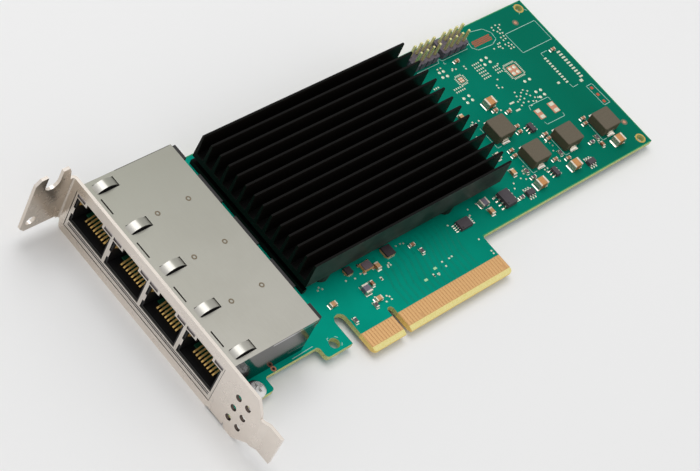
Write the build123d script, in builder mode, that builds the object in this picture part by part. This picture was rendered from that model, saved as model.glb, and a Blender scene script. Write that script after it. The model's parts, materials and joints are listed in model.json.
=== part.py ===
"""Four-port network interface card with a low profile bracket, in millimetres.

X runs along the card from the bracket to the rear, Y runs up from the edge contacts,
and Z points out of the component side. The origin is on the lower edge of the board,
at the middle of the key notch, on the component face.
"""

import os

from build123d import *

os.makedirs("parts", exist_ok=True)

# Sizes that several pieces use
overrun = 1.0
hidden_hole_sides = 8
small_round_sides = 16
seat_gap = 0.05
slip_gap = 0.1

# Board
board_thickness = 1.57
board_height = 68.9
board_gap = 0.44
board_rear_x = 111.0
board_lower_y = 12.2
board_corner_radius = 0.9
rear_corner_radius = 0.2
block_left = 12.15
block_right = 39.15
key_width = 1.9
key_top_y = 8.25
bevel_height = 1.3
bevel_depth = 0.45
arch_width = 3.75
arch_top_y = 13.16
heel_width = 12.4
heel_bottom_y = 4.7
front_lower_y = 8.3
lip_bottom_y = 4.45
lip_length = 14.8
tooling_hole_radius = 1.5
tooling_hole_x = -20.2
tooling_hole_y = 7.1
rear_hole_radius = 1.1
rear_hole_inset = 2.7
rear_hole_rise = 2.3
solder_face_z = -board_thickness

# Edge contacts
pad_pitch = 1.0
pad_width = 0.7
pad_top_y = 5.6
pad_plating = 0.05
first_pad_x = 1.5
left_pads = 11
right_pads = 38
short_pad_drop = 1.4
short_pads_component = (17, 31, 48)
short_pads_solder = (1,)

# Bracket
sheet = 0.86
bracket_face_x = -58.5
bracket_width = 18.42
bracket_solder_z = -3.0
bracket_bend_radius = 1.0
flange_clearance = 1.6
flange_depth = 12.3
flange_solder_z = 0.8
flange_horn_z = 20.3
flange_corner = 1.5
horn_root_width = 1.1
screw_notch_width = 4.42
screw_notch_x = -65.2
screw_notch_bottom_z = 14.7
flange_hole_radius = 1.45
flange_hole_x = -68.2
flange_hole_z = 4.3
taper_top_y = -0.65
taper_rise = 2.3
tongue_width = 10.19
tongue_solder_z = 0.6
tongue_top_y = -3.4
tongue_bottom_y = -10.2
tongue_taper_y = 0.94
tongue_corner = 1.2
jog_offset = 0.8
jog_top_y = -4.2
jog_length = 1.6
vent_radius = 0.95
vent_pitch_y = 3.3
vent_pitch_z = 4.1
vent_centre_y = 2.3
vent_centre_z = 5.6
tab_low_y = 4.6
tab_high_y = 10.0
tab_relief_width = 0.4
tab_relief_depth = 1.5
tab_length = 15.0

# Bracket screw
screw_x = -46.9
screw_y = 6.6
screw_head_radius = 2.45
screw_head_height = 1.6
screw_shank_radius = 1.2
screw_hole_radius = 1.5
screw_tip_z = -2.8
screw_slot_length = 2.8
screw_slot_width = 0.7
screw_slot_depth = 0.8

# Jack block
screw_jack_gap = 3.2
port_pitch = 13.97
port_count = 4
shield_wall = 0.3
shield_margin = 0.86
shield_height = 13.3
shield_rear_x = -29.0
shield_setback = 0.15
nose_recess = 0.1
nose_clearance = 0.15
window_lap = 0.55
window_bottom_z = -0.6
window_top_z = 12.75
port_divider = 0.97
opening_bottom_z = 2.2
opening_top_z = 10.95
opening_step = 0.6
opening_step_low_z = 5.0
opening_step_high_z = 7.3
cavity_wall = 2.07
cavity_floor_z = 2.8
cavity_top_z = 10.4
cavity_depth = 13.4
latch_width = 6.0
latch_top_z = 12.2
led_length = 2.9
led_height = 1.0
led_depth = 2.6
led_edge = 1.785
led_bottom_z = 11.3
spring_count = 5
spring_width = 2.4
spring_length = 6.3
spring_rise = 1.1
spring_front_setback = 2.8
spring_end_gap = 2.7
spring_slot_gap = 0.3
slit_length = 4.8
slit_width = 0.4
slit_setback = 2.5
ledge_reach = 1.3
ledge_height = 3.2
ledge_width = 9.0
ledge_drop = 0.4

# Port contacts
contacts_per_port = 8
contact_pitch = 1.016
contact_width = 0.46
contact_thickness = 0.3
contact_tip_setback = 2.4
contact_tip_rise = 0.3
contact_knee_run = 0.5
contact_knee_rise = 0.3
contact_peak_run = 6.1
contact_peak_rise = 2.6
contact_back_run = 7.6
contact_back_rise = 2.0
contact_foot_run = 8.0
contact_foot_length = 0.7
contact_board_setback = 4.0
contact_board_length = 7.0
contact_board_margin = 0.75
contact_board_thickness = 0.4
ground_spring_length = 3.4
ground_spring_bulge = 0.45
ground_spring_low_z = 8.0
ground_spring_height = 1.3
ground_spring_thickness = 0.2
ground_spring_setback = 0.7

# Heat sink
sink_front_x = -18.3
sink_length = 72.3
sink_low_y = 22.0
sink_top_margin = 1.9
sink_base_z = 3.1
sink_base_thickness = 1.8
sink_height = 8.4
fin_count = 14
fin_tip = 0.6
fin_root = 1.1
boss_radius = 2.6
boss_front_x = -10.0
boss_rear_x = 35.5
boss_edge = 2.7
boss_bore_radius = 1.2
boss_bore_depth = 2.8
sink_screw_head_radius = 2.2
sink_screw_head_height = 1.4
sink_screw_shank_radius = 1.1
sink_screw_reach = 2.4
sink_screw_hole_radius = 1.4
sink_screw_slot_depth = 0.6

# Chips under the heat sink
package_clearance = 4.7
package_thickness = 1.3
package_corner = 1.2
lid_inset = 1.5
lid_thickness = 1.4
lid_corner = 1.0
pad_inset = 1.0
controller_x = 33.0
transceiver_x = 2.5

# Pin headers
pin_pitch = 2.54
pin_side = 0.64
pin_top_z = 7.1
pin_tail = 1.2
pin_point = 0.2
pin_hole_radius = 0.5
header_height = 2.5
header_columns = 4
header_rows = 2
header_notch = 0.5
header_margin = 3.8
header_sink_gap = 10.8
header_spacing = 11.8

# Power inductors
inductor_length = 6.7
inductor_width = 6.3
inductor_height = 3.2
inductor_corner = 0.3
inductor_edge = 0.15
inductor_clip_width = 2.6
inductor_clip_height = 1.3
inductor_clip_thickness = 0.2
inductor_clip_foot = 1.4
inductor_place_shares = ((0.747, 0.522), (0.850, 0.361), (0.768, 0.361), (0.938, 0.341))

# Leaded and flat chips
soic_length = 4.9
soic_width = 3.9
soic_height = 1.5
soic_pitch = 1.27
soic_pins = 4
soic_place_share = (0.661, 0.260)
tssop_length = 3.0
tssop_width = 4.4
tssop_height = 1.0
tssop_pitch = 0.65
tssop_pins = 4
tssop_sink_gap = 4.43
tssop_along_share = 0.559
sot_length = 2.9
sot_width = 1.7
sot_height = 1.05
sot_pitch = 0.95
sot_pins = 3
sot_place_shares = ((0.809, 0.470, 1), (0.782, 0.260, 1), (0.709, 0.235, 0), (0.857, 0.224, 0))
lead_thickness = 0.16
lead_fill_share = 0.33
soic_lead_reach = 1.05
tssop_lead_reach = 1.0
sot_lead_reach = 0.65
lead_foot_share = 0.5
chip_standoff = 0.1
chip_edge = 0.12
flat_chip_height = 0.9
logic_chip_side = 3.0
logic_chip_share = (0.407, 0.305)
supply_chip_side = 2.0
supply_chip_share = (0.324, 0.311)

# Clock oscillator
clock_length = 3.2
clock_width = 2.5
clock_base_height = 0.6
clock_lid_height = 0.35
clock_lid_inset = 0.2
clock_place_share = (0.357, 0.295)

# Surface mount passives
large_chip = (3.2, 2.5, 2.0)
medium_chip = (2.0, 1.25, 0.9)
small_chip = (1.6, 0.8, 0.7)
bead_chip = (2.5, 2.0, 1.3)
terminal_share = 0.18
terminal_lip = 0.04
large_capacitor_shares = (
    (0.774, 0.643, 0),
    (0.937, 0.246, 0),
    (0.823, 0.243, 0),
    (0.738, 0.245, 0),
)
medium_capacitor_shares = (
    (0.710, 0.430, 1),
    (0.711, 0.341, 1),
    (0.708, 0.642, 1),
    (0.620, 0.245, 1),
    (0.262, 0.228, 0),
    (0.373, 0.274, 1),
    (0.334, 0.163, 0),
)
small_capacitor_shares = (
    (0.823, 0.418, 0),
    (0.822, 0.396, 0),
    (0.741, 0.425, 0),
    (0.739, 0.399, 0),
    (0.913, 0.402, 0),
    (0.909, 0.378, 0),
    (0.787, 0.504, 0),
    (0.784, 0.478, 0),
    (0.776, 0.607, 0),
    (0.797, 0.576, 0),
    (0.787, 0.872, 0),
    (0.906, 0.266, 1),
    (0.825, 0.284, 0),
    (0.801, 0.306, 0),
    (0.974, 0.731, 0),
    (0.452, 0.282, 0),
    (0.344, 0.226, 1),
)
resistor_shares = (
    (0.820, 0.319, 1),
    (0.735, 0.319, 1),
    (0.907, 0.302, 1),
    (0.459, 0.242, 1),
    (0.323, 0.148, 1),
    (0.718, 0.589, 0),
    (0.891, 0.295, 0),
    (0.689, 0.235, 0),
    (0.738, 0.284, 0),
    (0.275, 0.135, 1),
)
bead_shares = ((0.327, 0.216, 1), (0.618, 0.289, 0))

# Places worked out from the sizes above
shield_width = port_count * port_pitch + 2 * shield_margin
window_width = shield_width - 2 * window_lap
jack_centre_y = screw_y + screw_jack_gap + shield_width / 2
flange_underside_y = jack_centre_y + shield_width / 2 + flange_clearance
opening_half = (port_pitch - port_divider) / 2
cavity_width = port_pitch - cavity_wall
contact_board_width = cavity_width - 2 * contact_board_margin
led_offset = port_pitch / 2 - led_edge
spring_reach = shield_width / 2 - spring_end_gap
sink_width = board_height - sink_top_margin - sink_low_y
package_side = sink_width - 2 * (boss_edge + boss_radius + package_clearance)
lid_side = package_side - 2 * lid_inset
pad_side = lid_side - 2 * pad_inset
header_y = board_height - header_margin
header_a_x = sink_front_x + sink_length + header_sink_gap
header_b_x = header_a_x + header_spacing
board_front_x = bracket_face_x + sheet + board_gap
board_length = board_rear_x - board_front_x
bracket_component_z = bracket_solder_z + bracket_width
tongue_component_z = tongue_solder_z + tongue_width
flange_outer_x = bracket_face_x - flange_depth
flange_top_y = flange_underside_y + sheet
tab_outer_z = solder_face_z - sheet
shield_front_x = bracket_face_x + sheet + shield_setback
shield_inner_top_z = shield_height - shield_wall
nose_front_x = bracket_face_x + nose_recess
nose_low_y = jack_centre_y - window_width / 2 + nose_clearance
nose_high_y = jack_centre_y + window_width / 2 - nose_clearance
nose_bottom_z = window_bottom_z + nose_clearance
nose_top_z = window_top_z - nose_clearance
mouth_x = nose_front_x + shield_wall + seat_gap
cavity_back_x = mouth_x + cavity_depth
sink_top_z = sink_base_z + sink_height
fin_floor_z = sink_base_z + sink_base_thickness
sink_middle_y = sink_low_y + sink_width / 2
boss_low_y = sink_low_y + boss_edge
boss_high_y = sink_low_y + sink_width - boss_edge
pad_thickness = sink_base_z - package_thickness - lid_thickness
port_centres = [jack_centre_y + port_pitch * (port_count / 2 - n - 1 / 2) for n in range(port_count)]
sink_screw_spots = [(x, y) for x in (boss_front_x, boss_rear_x) for y in (boss_low_y, boss_high_y)]


def board_spot(shares):
    """Board point from shares of the board's length and height."""
    return (board_front_x + shares[0] * board_length, shares[1] * board_height)


def fill_box(low, high, mode=Mode.ADD):
    """Block between two corners, drawn on its floor and raised."""
    with BuildSketch(Plane.XY.offset(low[2])) as floor:
        with Locations(((low[0] + high[0]) / 2, (low[1] + high[1]) / 2)):
            Rectangle(high[0] - low[0], high[1] - low[1])
    extrude(floor.sketch, amount=high[2] - low[2], mode=mode)


def cross_plane(y):
    """Plane along X and Z at the given Y, with its normal towards -Y."""
    return Plane.XZ.offset(-y)


def finish(item, name):
    """Label a piece and write its file."""
    item.part.label = name
    export_step(item.part, "parts/" + name + ".step")


def round_notch(x, top_y, width):
    """Notch that is open downwards and round at its top."""
    with Locations((x, top_y - width / 2)):
        Circle(width / 2, mode=Mode.SUBTRACT)
    with Locations((x, (top_y - width / 2 - overrun) / 2)):
        Rectangle(width, top_y - width / 2 + overrun, mode=Mode.SUBTRACT)


# Board with its edge block, notches and holes
with BuildPart() as board:
    with BuildSketch(Plane.XY.offset(solder_face_z)) as board_outline:
        with BuildLine():
            Polyline(
                (block_right, 0),
                (block_right, board_lower_y),
                (board_rear_x, board_lower_y),
                (board_rear_x, board_height),
                (board_front_x, board_height),
                (board_front_x, lip_bottom_y),
                (board_front_x + lip_length, lip_bottom_y),
                (board_front_x + lip_length, front_lower_y),
                (-block_left - heel_width, front_lower_y),
                (-block_left - heel_width, heel_bottom_y),
                (-block_left, heel_bottom_y),
                (-block_left, 0),
                close=True,
            )
        make_face()
        rear_corners = board_outline.vertices().group_by(Axis.X)[-1]
        fillet(
            board_outline.vertices().filter_by(lambda corner: corner not in rear_corners),
            board_corner_radius,
        )
        fillet(board_outline.vertices().group_by(Axis.X)[-1], rear_corner_radius)
        round_notch(0, key_top_y, key_width)
        round_notch(-block_left - arch_width / 2, arch_top_y, arch_width)
        with Locations((tooling_hole_x, tooling_hole_y)):
            Circle(tooling_hole_radius, mode=Mode.SUBTRACT)
        with Locations(
            (board_rear_x - rear_hole_inset, board_height - rear_hole_rise),
            (board_rear_x - rear_hole_inset, board_lower_y + rear_hole_rise),
        ):
            Circle(rear_hole_radius, mode=Mode.SUBTRACT)
        with Locations((screw_x, screw_y)):
            RegularPolygon(screw_hole_radius, hidden_hole_sides, mode=Mode.SUBTRACT)
        with Locations(*sink_screw_spots):
            RegularPolygon(sink_screw_hole_radius, hidden_hole_sides, mode=Mode.SUBTRACT)
        with Locations((header_a_x, header_y), (header_b_x, header_y)):
            with GridLocations(pin_pitch, pin_pitch, header_columns, header_rows):
                RegularPolygon(pin_hole_radius, hidden_hole_sides, mode=Mode.SUBTRACT)
    extrude(amount=board_thickness)
    with BuildSketch(Plane.YZ.offset(-block_left - overrun)):
        with BuildLine():
            Polyline((0, 0), (bevel_height, 0), (0, -bevel_depth), close=True)
        make_face()
        with BuildLine():
            Polyline(
                (0, solder_face_z),
                (bevel_height, solder_face_z),
                (0, solder_face_z + bevel_depth),
                close=True,
            )
        make_face()
    extrude(amount=block_left + block_right + 2 * overrun, mode=Mode.SUBTRACT)
finish(board, "board")


def edge_pads(short_pads):
    """Gold pads of one face, where the short ones stop above the others."""
    places = [-first_pad_x - pad_pitch * (left_pads - 1 - n) for n in range(left_pads)]
    places += [first_pad_x + pad_pitch * n for n in range(right_pads)]
    for number, x in enumerate(places, start=1):
        low_y = bevel_height + (short_pad_drop if number in short_pads else 0)
        with Locations((x, (low_y + pad_top_y) / 2)):
            Rectangle(pad_width, pad_top_y - low_y)


# Edge contacts on the component face
with BuildPart() as edge_contacts_component_side:
    with BuildSketch():
        edge_pads(short_pads_component)
    extrude(amount=pad_plating)
finish(edge_contacts_component_side, "edge_contacts_component_side")

# Edge contacts on the solder face
with BuildPart() as edge_contacts_solder_side:
    with BuildSketch(Plane.XY.offset(solder_face_z - pad_plating)):
        edge_pads(short_pads_solder)
    extrude(amount=pad_plating)
finish(edge_contacts_solder_side, "edge_contacts_solder_side")

# Bracket: a folded strip, trimmed to its front and top outlines
with BuildPart() as bracket:
    with BuildSketch(Plane.XY.offset(bracket_solder_z)):
        with BuildLine():
            FilletPolyline(
                (flange_outer_x, flange_underside_y + sheet / 2),
                (bracket_face_x + sheet / 2, flange_underside_y + sheet / 2),
                (bracket_face_x + sheet / 2, jog_top_y),
                (bracket_face_x + sheet / 2 + jog_offset, jog_top_y - jog_length),
                (bracket_face_x + sheet / 2 + jog_offset, tongue_bottom_y),
                radius=bracket_bend_radius,
            )
        trace(line_width=sheet)
    extrude(amount=flange_horn_z - bracket_solder_z)
    with BuildSketch(Plane.YZ.offset(flange_outer_x - overrun)) as front_outline:
        with BuildLine():
            Polyline(
                (flange_top_y + overrun, flange_solder_z),
                (flange_top_y + overrun, flange_horn_z + overrun),
                (flange_underside_y - tab_relief_width, flange_horn_z + overrun),
                (flange_underside_y - tab_relief_width, bracket_component_z),
                (taper_top_y, bracket_component_z),
                (taper_top_y - taper_rise, tongue_component_z + tongue_corner),
                (tongue_top_y, tongue_component_z),
                (tongue_bottom_y, tongue_component_z),
                (tongue_bottom_y, tongue_solder_z),
                (tongue_top_y, tongue_solder_z),
                (tongue_taper_y, bracket_solder_z),
                (tab_low_y - tab_relief_width, bracket_solder_z),
                (tab_low_y - tab_relief_width, bracket_solder_z + tab_relief_depth),
                (tab_low_y, bracket_solder_z + tab_relief_depth),
                (tab_low_y, tab_outer_z),
                (tab_high_y, tab_outer_z),
                (tab_high_y + tab_relief_width, bracket_solder_z),
                (flange_underside_y - overrun, bracket_solder_z),
                (flange_underside_y - tab_relief_width, flange_solder_z - overrun),
                close=True,
            )
        make_face()
        fillet(
            front_outline.vertices().group_by(Axis.Y)[0],
            tongue_corner,
        )
        with Locations((jack_centre_y, (window_bottom_z + window_top_z) / 2)):
            Rectangle(window_width, window_top_z - window_bottom_z, mode=Mode.SUBTRACT)
        with Locations((vent_centre_y, vent_centre_z)):
            with GridLocations(vent_pitch_y, vent_pitch_z, 2, 3):
                RegularPolygon(vent_radius, small_round_sides, mode=Mode.SUBTRACT)
    extrude(amount=flange_depth + tab_length + overrun, mode=Mode.INTERSECT)
    with BuildSketch(cross_plane(flange_top_y + overrun)):
        with BuildLine():
            Polyline(
                (bracket_face_x + tab_length, bracket_solder_z - overrun),
                (bracket_face_x + tab_length, bracket_component_z),
                (bracket_face_x - horn_root_width, bracket_component_z),
                (bracket_face_x - horn_root_width - flange_corner / 2, flange_horn_z - flange_corner),
                (bracket_face_x - horn_root_width - flange_corner, flange_horn_z),
                (flange_outer_x + flange_corner, flange_horn_z),
                (flange_outer_x, flange_horn_z - flange_corner),
                (flange_outer_x, flange_solder_z + flange_corner),
                (flange_outer_x + flange_corner, flange_solder_z),
                (bracket_face_x - horn_root_width, flange_solder_z),
                (bracket_face_x - horn_root_width / 2, bracket_solder_z - overrun),
                close=True,
            )
        make_face()
        notch_centre_z = screw_notch_bottom_z + screw_notch_width / 2
        with Locations((screw_notch_x, notch_centre_z)):
            Circle(screw_notch_width / 2, mode=Mode.SUBTRACT)
        with Locations((screw_notch_x, (notch_centre_z + flange_horn_z + overrun) / 2)):
            Rectangle(screw_notch_width, flange_horn_z + overrun - notch_centre_z, mode=Mode.SUBTRACT)
        with Locations((flange_hole_x, flange_hole_z)):
            Circle(flange_hole_radius, mode=Mode.SUBTRACT)
    extrude(amount=flange_top_y - tongue_bottom_y + 2 * overrun, mode=Mode.INTERSECT)
    fill_box(
        (bracket_face_x + sheet / 2, tab_low_y, tab_outer_z),
        (bracket_face_x + tab_length, tab_high_y, solder_face_z),
    )
    with BuildSketch(Plane.XY.offset(tab_outer_z)):
        with Locations((screw_x, screw_y)):
            RegularPolygon(screw_hole_radius, hidden_hole_sides)
    extrude(amount=sheet, mode=Mode.SUBTRACT)
finish(bracket, "bracket")


def pan_head_screw(head_radius, head_height, shank_radius, shank_length):
    """Screw on the Z axis: its head rises from zero and its shank goes down."""
    with BuildSketch(Plane.XZ) as half_section:
        with BuildLine():
            Polyline(
                (0, head_height),
                (0, -shank_length),
                (shank_radius, -shank_length),
                (shank_radius, 0),
                (head_radius, 0),
                (head_radius, head_height / 2),
                (head_radius - head_height / 2, head_height),
                close=True,
            )
        make_face()
    revolve(half_section.sketch, axis=Axis.Z)


def cross_recess(top_z, length, width, depth):
    """Cross shaped recess in a screw head."""
    with BuildSketch(Plane.XY.offset(top_z - depth)) as cross:
        Rectangle(length, width)
        Rectangle(width, length)
    extrude(cross.sketch, amount=2 * depth, mode=Mode.SUBTRACT)


# Screw that holds the board to the bracket's tab
with BuildPart() as bracket_screw:
    pan_head_screw(screw_head_radius, screw_head_height, screw_shank_radius, -screw_tip_z)
    cross_recess(screw_head_height, screw_slot_length, screw_slot_width, screw_slot_depth)
bracket_screw.part.position = (screw_x, screw_y, 0)
finish(bracket_screw, "bracket_screw")


def spring_rows():
    """Y places of the spring fingers on the shield's top."""
    step = 2 * spring_reach / (spring_count - 1)
    return [jack_centre_y - spring_reach + step * n for n in range(spring_count)]


def ledge_rows():
    """Low and high Y of each rear ledge: half ledges at the ends, whole ones between the ports."""
    low_end = jack_centre_y - shield_width / 2 + shield_wall + slip_gap
    high_end = jack_centre_y + shield_width / 2 - shield_wall - slip_gap
    walls = [jack_centre_y + port_pitch * (n + 1 - port_count / 2) for n in range(port_count - 1)]
    rows = [(low_end, low_end + ledge_width / 2), (high_end - ledge_width / 2, high_end)]
    return rows + [(y - ledge_width / 2, y + ledge_width / 2) for y in walls]


def port_opening(y):
    """Port opening in the shield's front: the socket, its latch slot and two lamp windows."""
    with BuildLine() as rim:
        Polyline(
            (y - opening_half, opening_bottom_z),
            (y - opening_half, opening_top_z),
            (y - latch_width / 2, opening_top_z),
            (y - latch_width / 2, latch_top_z),
            (y + latch_width / 2, latch_top_z),
            (y + latch_width / 2, opening_top_z),
            (y + opening_half, opening_top_z),
            (y + opening_half, opening_step_high_z),
            (y + opening_half - opening_step, opening_step_high_z),
            (y + opening_half - opening_step, opening_step_low_z),
            (y + opening_half, opening_step_low_z),
            (y + opening_half, opening_bottom_z),
            close=True,
        )
    make_face(rim.edges())
    with Locations((y, led_bottom_z + led_height / 2)):
        with GridLocations(2 * led_offset, 0, 2, 1):
            Rectangle(led_length, led_height)


# Pressed shield round the four ports
with BuildPart() as jack_shield:
    fill_box(
        (shield_front_x, jack_centre_y - shield_width / 2, 0),
        (shield_rear_x, jack_centre_y + shield_width / 2, shield_height),
    )
    fill_box(
        (nose_front_x, nose_low_y, nose_bottom_z),
        (shield_front_x, nose_high_y, nose_top_z),
    )
    fill_box(
        (shield_front_x + shield_wall, jack_centre_y - shield_width / 2 + shield_wall, -overrun),
        (shield_rear_x - shield_wall, jack_centre_y + shield_width / 2 - shield_wall, shield_inner_top_z),
        Mode.SUBTRACT,
    )
    fill_box(
        (nose_front_x + shield_wall, nose_low_y + shield_wall, nose_bottom_z + shield_wall),
        (shield_front_x + overrun, nose_high_y - shield_wall, nose_top_z - shield_wall),
        Mode.SUBTRACT,
    )
    with BuildSketch(Plane.YZ.offset(nose_front_x - overrun)):
        for port_y in port_centres:
            port_opening(port_y)
    extrude(amount=overrun + 2 * shield_wall, mode=Mode.SUBTRACT)
    spring_start_x = shield_front_x + spring_front_setback - shield_wall
    for spring_y in spring_rows():
        fill_box(
            (
                spring_start_x + shield_wall,
                spring_y - spring_width / 2 - spring_slot_gap,
                shield_inner_top_z - overrun,
            ),
            (
                spring_start_x + spring_length + spring_slot_gap,
                spring_y + spring_width / 2 + spring_slot_gap,
                shield_height + overrun,
            ),
            Mode.SUBTRACT,
        )
    for port_y in port_centres:
        fill_box(
            (
                shield_front_x + slit_setback - slit_width,
                port_y - slit_length / 2,
                shield_inner_top_z - overrun,
            ),
            (shield_front_x + slit_setback, port_y + slit_length / 2, shield_height + overrun),
            Mode.SUBTRACT,
        )
    for ledge_low_y, ledge_high_y in ledge_rows():
        fill_box(
            (
                shield_rear_x - shield_wall - overrun,
                ledge_low_y - slip_gap,
                shield_inner_top_z - ledge_height - slip_gap,
            ),
            (shield_rear_x + overrun, ledge_high_y + slip_gap, shield_inner_top_z),
            Mode.SUBTRACT,
        )
    for spring_y in spring_rows():
        with BuildSketch(cross_plane(spring_y + spring_width / 2)):
            with BuildLine():
                ThreePointArc(
                    (spring_start_x, shield_height - shield_wall / 2),
                    (spring_start_x + spring_length / 2, shield_height + spring_rise),
                    (spring_start_x + spring_length, shield_height - shield_wall / 2),
                )
            trace(line_width=shield_wall)
        extrude(amount=spring_width)
finish(jack_shield, "jack_shield")

# Moulded body of the jack block, with its four sockets
with BuildPart() as jack_housing:
    fill_box(
        (
            shield_front_x + shield_wall + slip_gap,
            jack_centre_y - shield_width / 2 + shield_wall + slip_gap,
            0,
        ),
        (
            shield_rear_x - shield_wall - slip_gap,
            jack_centre_y + shield_width / 2 - shield_wall - slip_gap,
            shield_inner_top_z - slip_gap,
        ),
    )
    fill_box(
        (mouth_x, nose_low_y + shield_wall + slip_gap, 0),
        (
            shield_front_x + shield_wall + slip_gap,
            nose_high_y - shield_wall - slip_gap,
            nose_top_z - shield_wall - slip_gap,
        ),
    )
    for ledge_low_y, ledge_high_y in ledge_rows():
        fill_box(
            (
                shield_rear_x - shield_wall - slip_gap,
                ledge_low_y,
                shield_inner_top_z - ledge_height,
            ),
            (shield_rear_x + ledge_reach, ledge_high_y, shield_inner_top_z - ledge_drop / 2),
        )
    for port_y in port_centres:
        fill_box(
            (mouth_x - overrun, port_y - cavity_width / 2, cavity_floor_z),
            (cavity_back_x, port_y + cavity_width / 2, cavity_top_z),
            Mode.SUBTRACT,
        )
        fill_box(
            (mouth_x - overrun, port_y - latch_width / 2, cavity_top_z - overrun),
            (cavity_back_x, port_y + latch_width / 2, latch_top_z),
            Mode.SUBTRACT,
        )
        for side in (-1, 1):
            led_y = port_y + side * led_offset
            fill_box(
                (mouth_x - overrun, led_y - led_length / 2 - seat_gap, led_bottom_z),
                (
                    mouth_x + led_depth,
                    led_y + led_length / 2 + seat_gap,
                    led_bottom_z + led_height + seat_gap,
                ),
                Mode.SUBTRACT,
            )
finish(jack_housing, "jack_housing")


def contact_path():
    """Side view of one port contact, from its tip to its foot on the contact board."""
    tip_x = mouth_x + contact_tip_setback
    base_z = cavity_floor_z + contact_tip_rise
    foot_z = cavity_floor_z + contact_board_thickness + contact_thickness / 2
    return (
        (tip_x, base_z),
        (tip_x + contact_knee_run, base_z + contact_knee_rise),
        (tip_x + contact_peak_run, base_z + contact_peak_rise),
        (tip_x + contact_back_run, base_z + contact_back_rise),
        (tip_x + contact_foot_run, foot_z),
        (tip_x + contact_foot_run + contact_foot_length, foot_z),
    )


# Sprung contacts, contact board, lamp windows and earthing spring of each port
for port_number, port_y in enumerate(port_centres, start=1):
    with BuildPart() as port_contacts:
        first_contact_y = port_y + contact_pitch * (contacts_per_port - 1) / 2
        for contact in range(contacts_per_port):
            contact_y = first_contact_y - contact * contact_pitch
            with BuildSketch(cross_plane(contact_y + contact_width / 2)):
                with BuildLine():
                    Polyline(*contact_path())
                trace(line_width=contact_thickness)
            extrude(amount=contact_width)
    finish(port_contacts, f"port_{port_number}_contacts")

    with BuildPart() as port_contact_board:
        fill_box(
            (mouth_x + contact_board_setback, port_y - contact_board_width / 2, cavity_floor_z),
            (
                mouth_x + contact_board_setback + contact_board_length,
                port_y + contact_board_width / 2,
                cavity_floor_z + contact_board_thickness,
            ),
        )
    finish(port_contact_board, f"port_{port_number}_contact_board")

    with BuildPart() as port_lamp_windows:
        for side in (-1, 1):
            led_y = port_y + side * led_offset
            fill_box(
                (mouth_x, led_y - led_length / 2, led_bottom_z),
                (mouth_x + led_depth - seat_gap, led_y + led_length / 2, led_bottom_z + led_height),
            )
    finish(port_lamp_windows, f"port_{port_number}_lamp_windows")

# Earthing springs, one on the upper side wall of each socket
with BuildPart() as port_ground_springs:
    for port_y in port_centres:
        wall_y = port_y + cavity_width / 2
        spring_x = mouth_x + ground_spring_setback
        with BuildSketch(Plane.XY.offset(ground_spring_low_z)):
            with BuildLine():
                Polyline(
                    (spring_x, wall_y),
                    (spring_x + ground_spring_length / 3, wall_y - ground_spring_bulge),
                    (spring_x + ground_spring_length, wall_y),
                    (spring_x + ground_spring_length - ground_spring_thickness, wall_y),
                    (
                        spring_x + ground_spring_length / 3,
                        wall_y - ground_spring_bulge + ground_spring_thickness,
                    ),
                    (spring_x + ground_spring_thickness, wall_y),
                    close=True,
                )
            make_face()
        extrude(amount=ground_spring_height)
finish(port_ground_springs, "port_ground_springs")


def comb_points():
    """Section of the heat sink: a base with tapered fins, as points in Y and Z."""
    step = (sink_width - fin_root) / (fin_count - 1)
    lean = (fin_root - fin_tip) / 2
    points = [(sink_low_y + sink_width, sink_base_z), (sink_low_y, sink_base_z)]
    for n in range(fin_count):
        low = sink_low_y + n * step
        points += [
            (low, fin_floor_z),
            (low + lean, sink_top_z),
            (low + lean + fin_tip, sink_top_z),
            (low + fin_root, fin_floor_z),
        ]
    return points


# Extruded heat sink, with a tapped boss near each corner of its front part
with BuildPart() as heat_sink:
    with BuildSketch(Plane.YZ.offset(sink_front_x)):
        with BuildLine():
            Polyline(*comb_points(), close=True)
        make_face()
    extrude(amount=sink_length)
    with BuildSketch():
        with Locations(*sink_screw_spots):
            RegularPolygon(boss_radius, small_round_sides)
    extrude(amount=sink_base_z + sink_base_thickness / 2)
    with BuildSketch():
        with Locations(*sink_screw_spots):
            RegularPolygon(boss_bore_radius, hidden_hole_sides)
    extrude(amount=boss_bore_depth, mode=Mode.SUBTRACT)
finish(heat_sink, "heat_sink")

# Screws that hold the heat sink from the solder side
with BuildPart() as heat_sink_screws:
    for sink_spot in sink_screw_spots:
        with BuildSketch(Plane.XY.offset(solder_face_z - sink_screw_head_height)):
            with Locations(sink_spot):
                RegularPolygon(sink_screw_head_radius, small_round_sides)
        extrude(amount=sink_screw_head_height)
        with BuildSketch(Plane.XY.offset(solder_face_z)):
            with Locations(sink_spot):
                RegularPolygon(sink_screw_shank_radius, hidden_hole_sides)
        extrude(amount=board_thickness + sink_screw_reach)
        with BuildSketch(Plane.XY.offset(solder_face_z - sink_screw_head_height)):
            with Locations(sink_spot):
                Rectangle(screw_slot_length, screw_slot_width)
                Rectangle(screw_slot_width, screw_slot_length)
        extrude(amount=sink_screw_slot_depth, mode=Mode.SUBTRACT)
finish(heat_sink_screws, "heat_sink_screws")


def square_slab(x, y, side, corner, low_z, thickness):
    """Square slab with cut corners."""
    with BuildSketch(Plane.XY.offset(low_z)) as slab:
        with Locations((x, y)):
            Rectangle(side, side)
        chamfer(slab.vertices(), corner)
    extrude(slab.sketch, amount=thickness)


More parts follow.
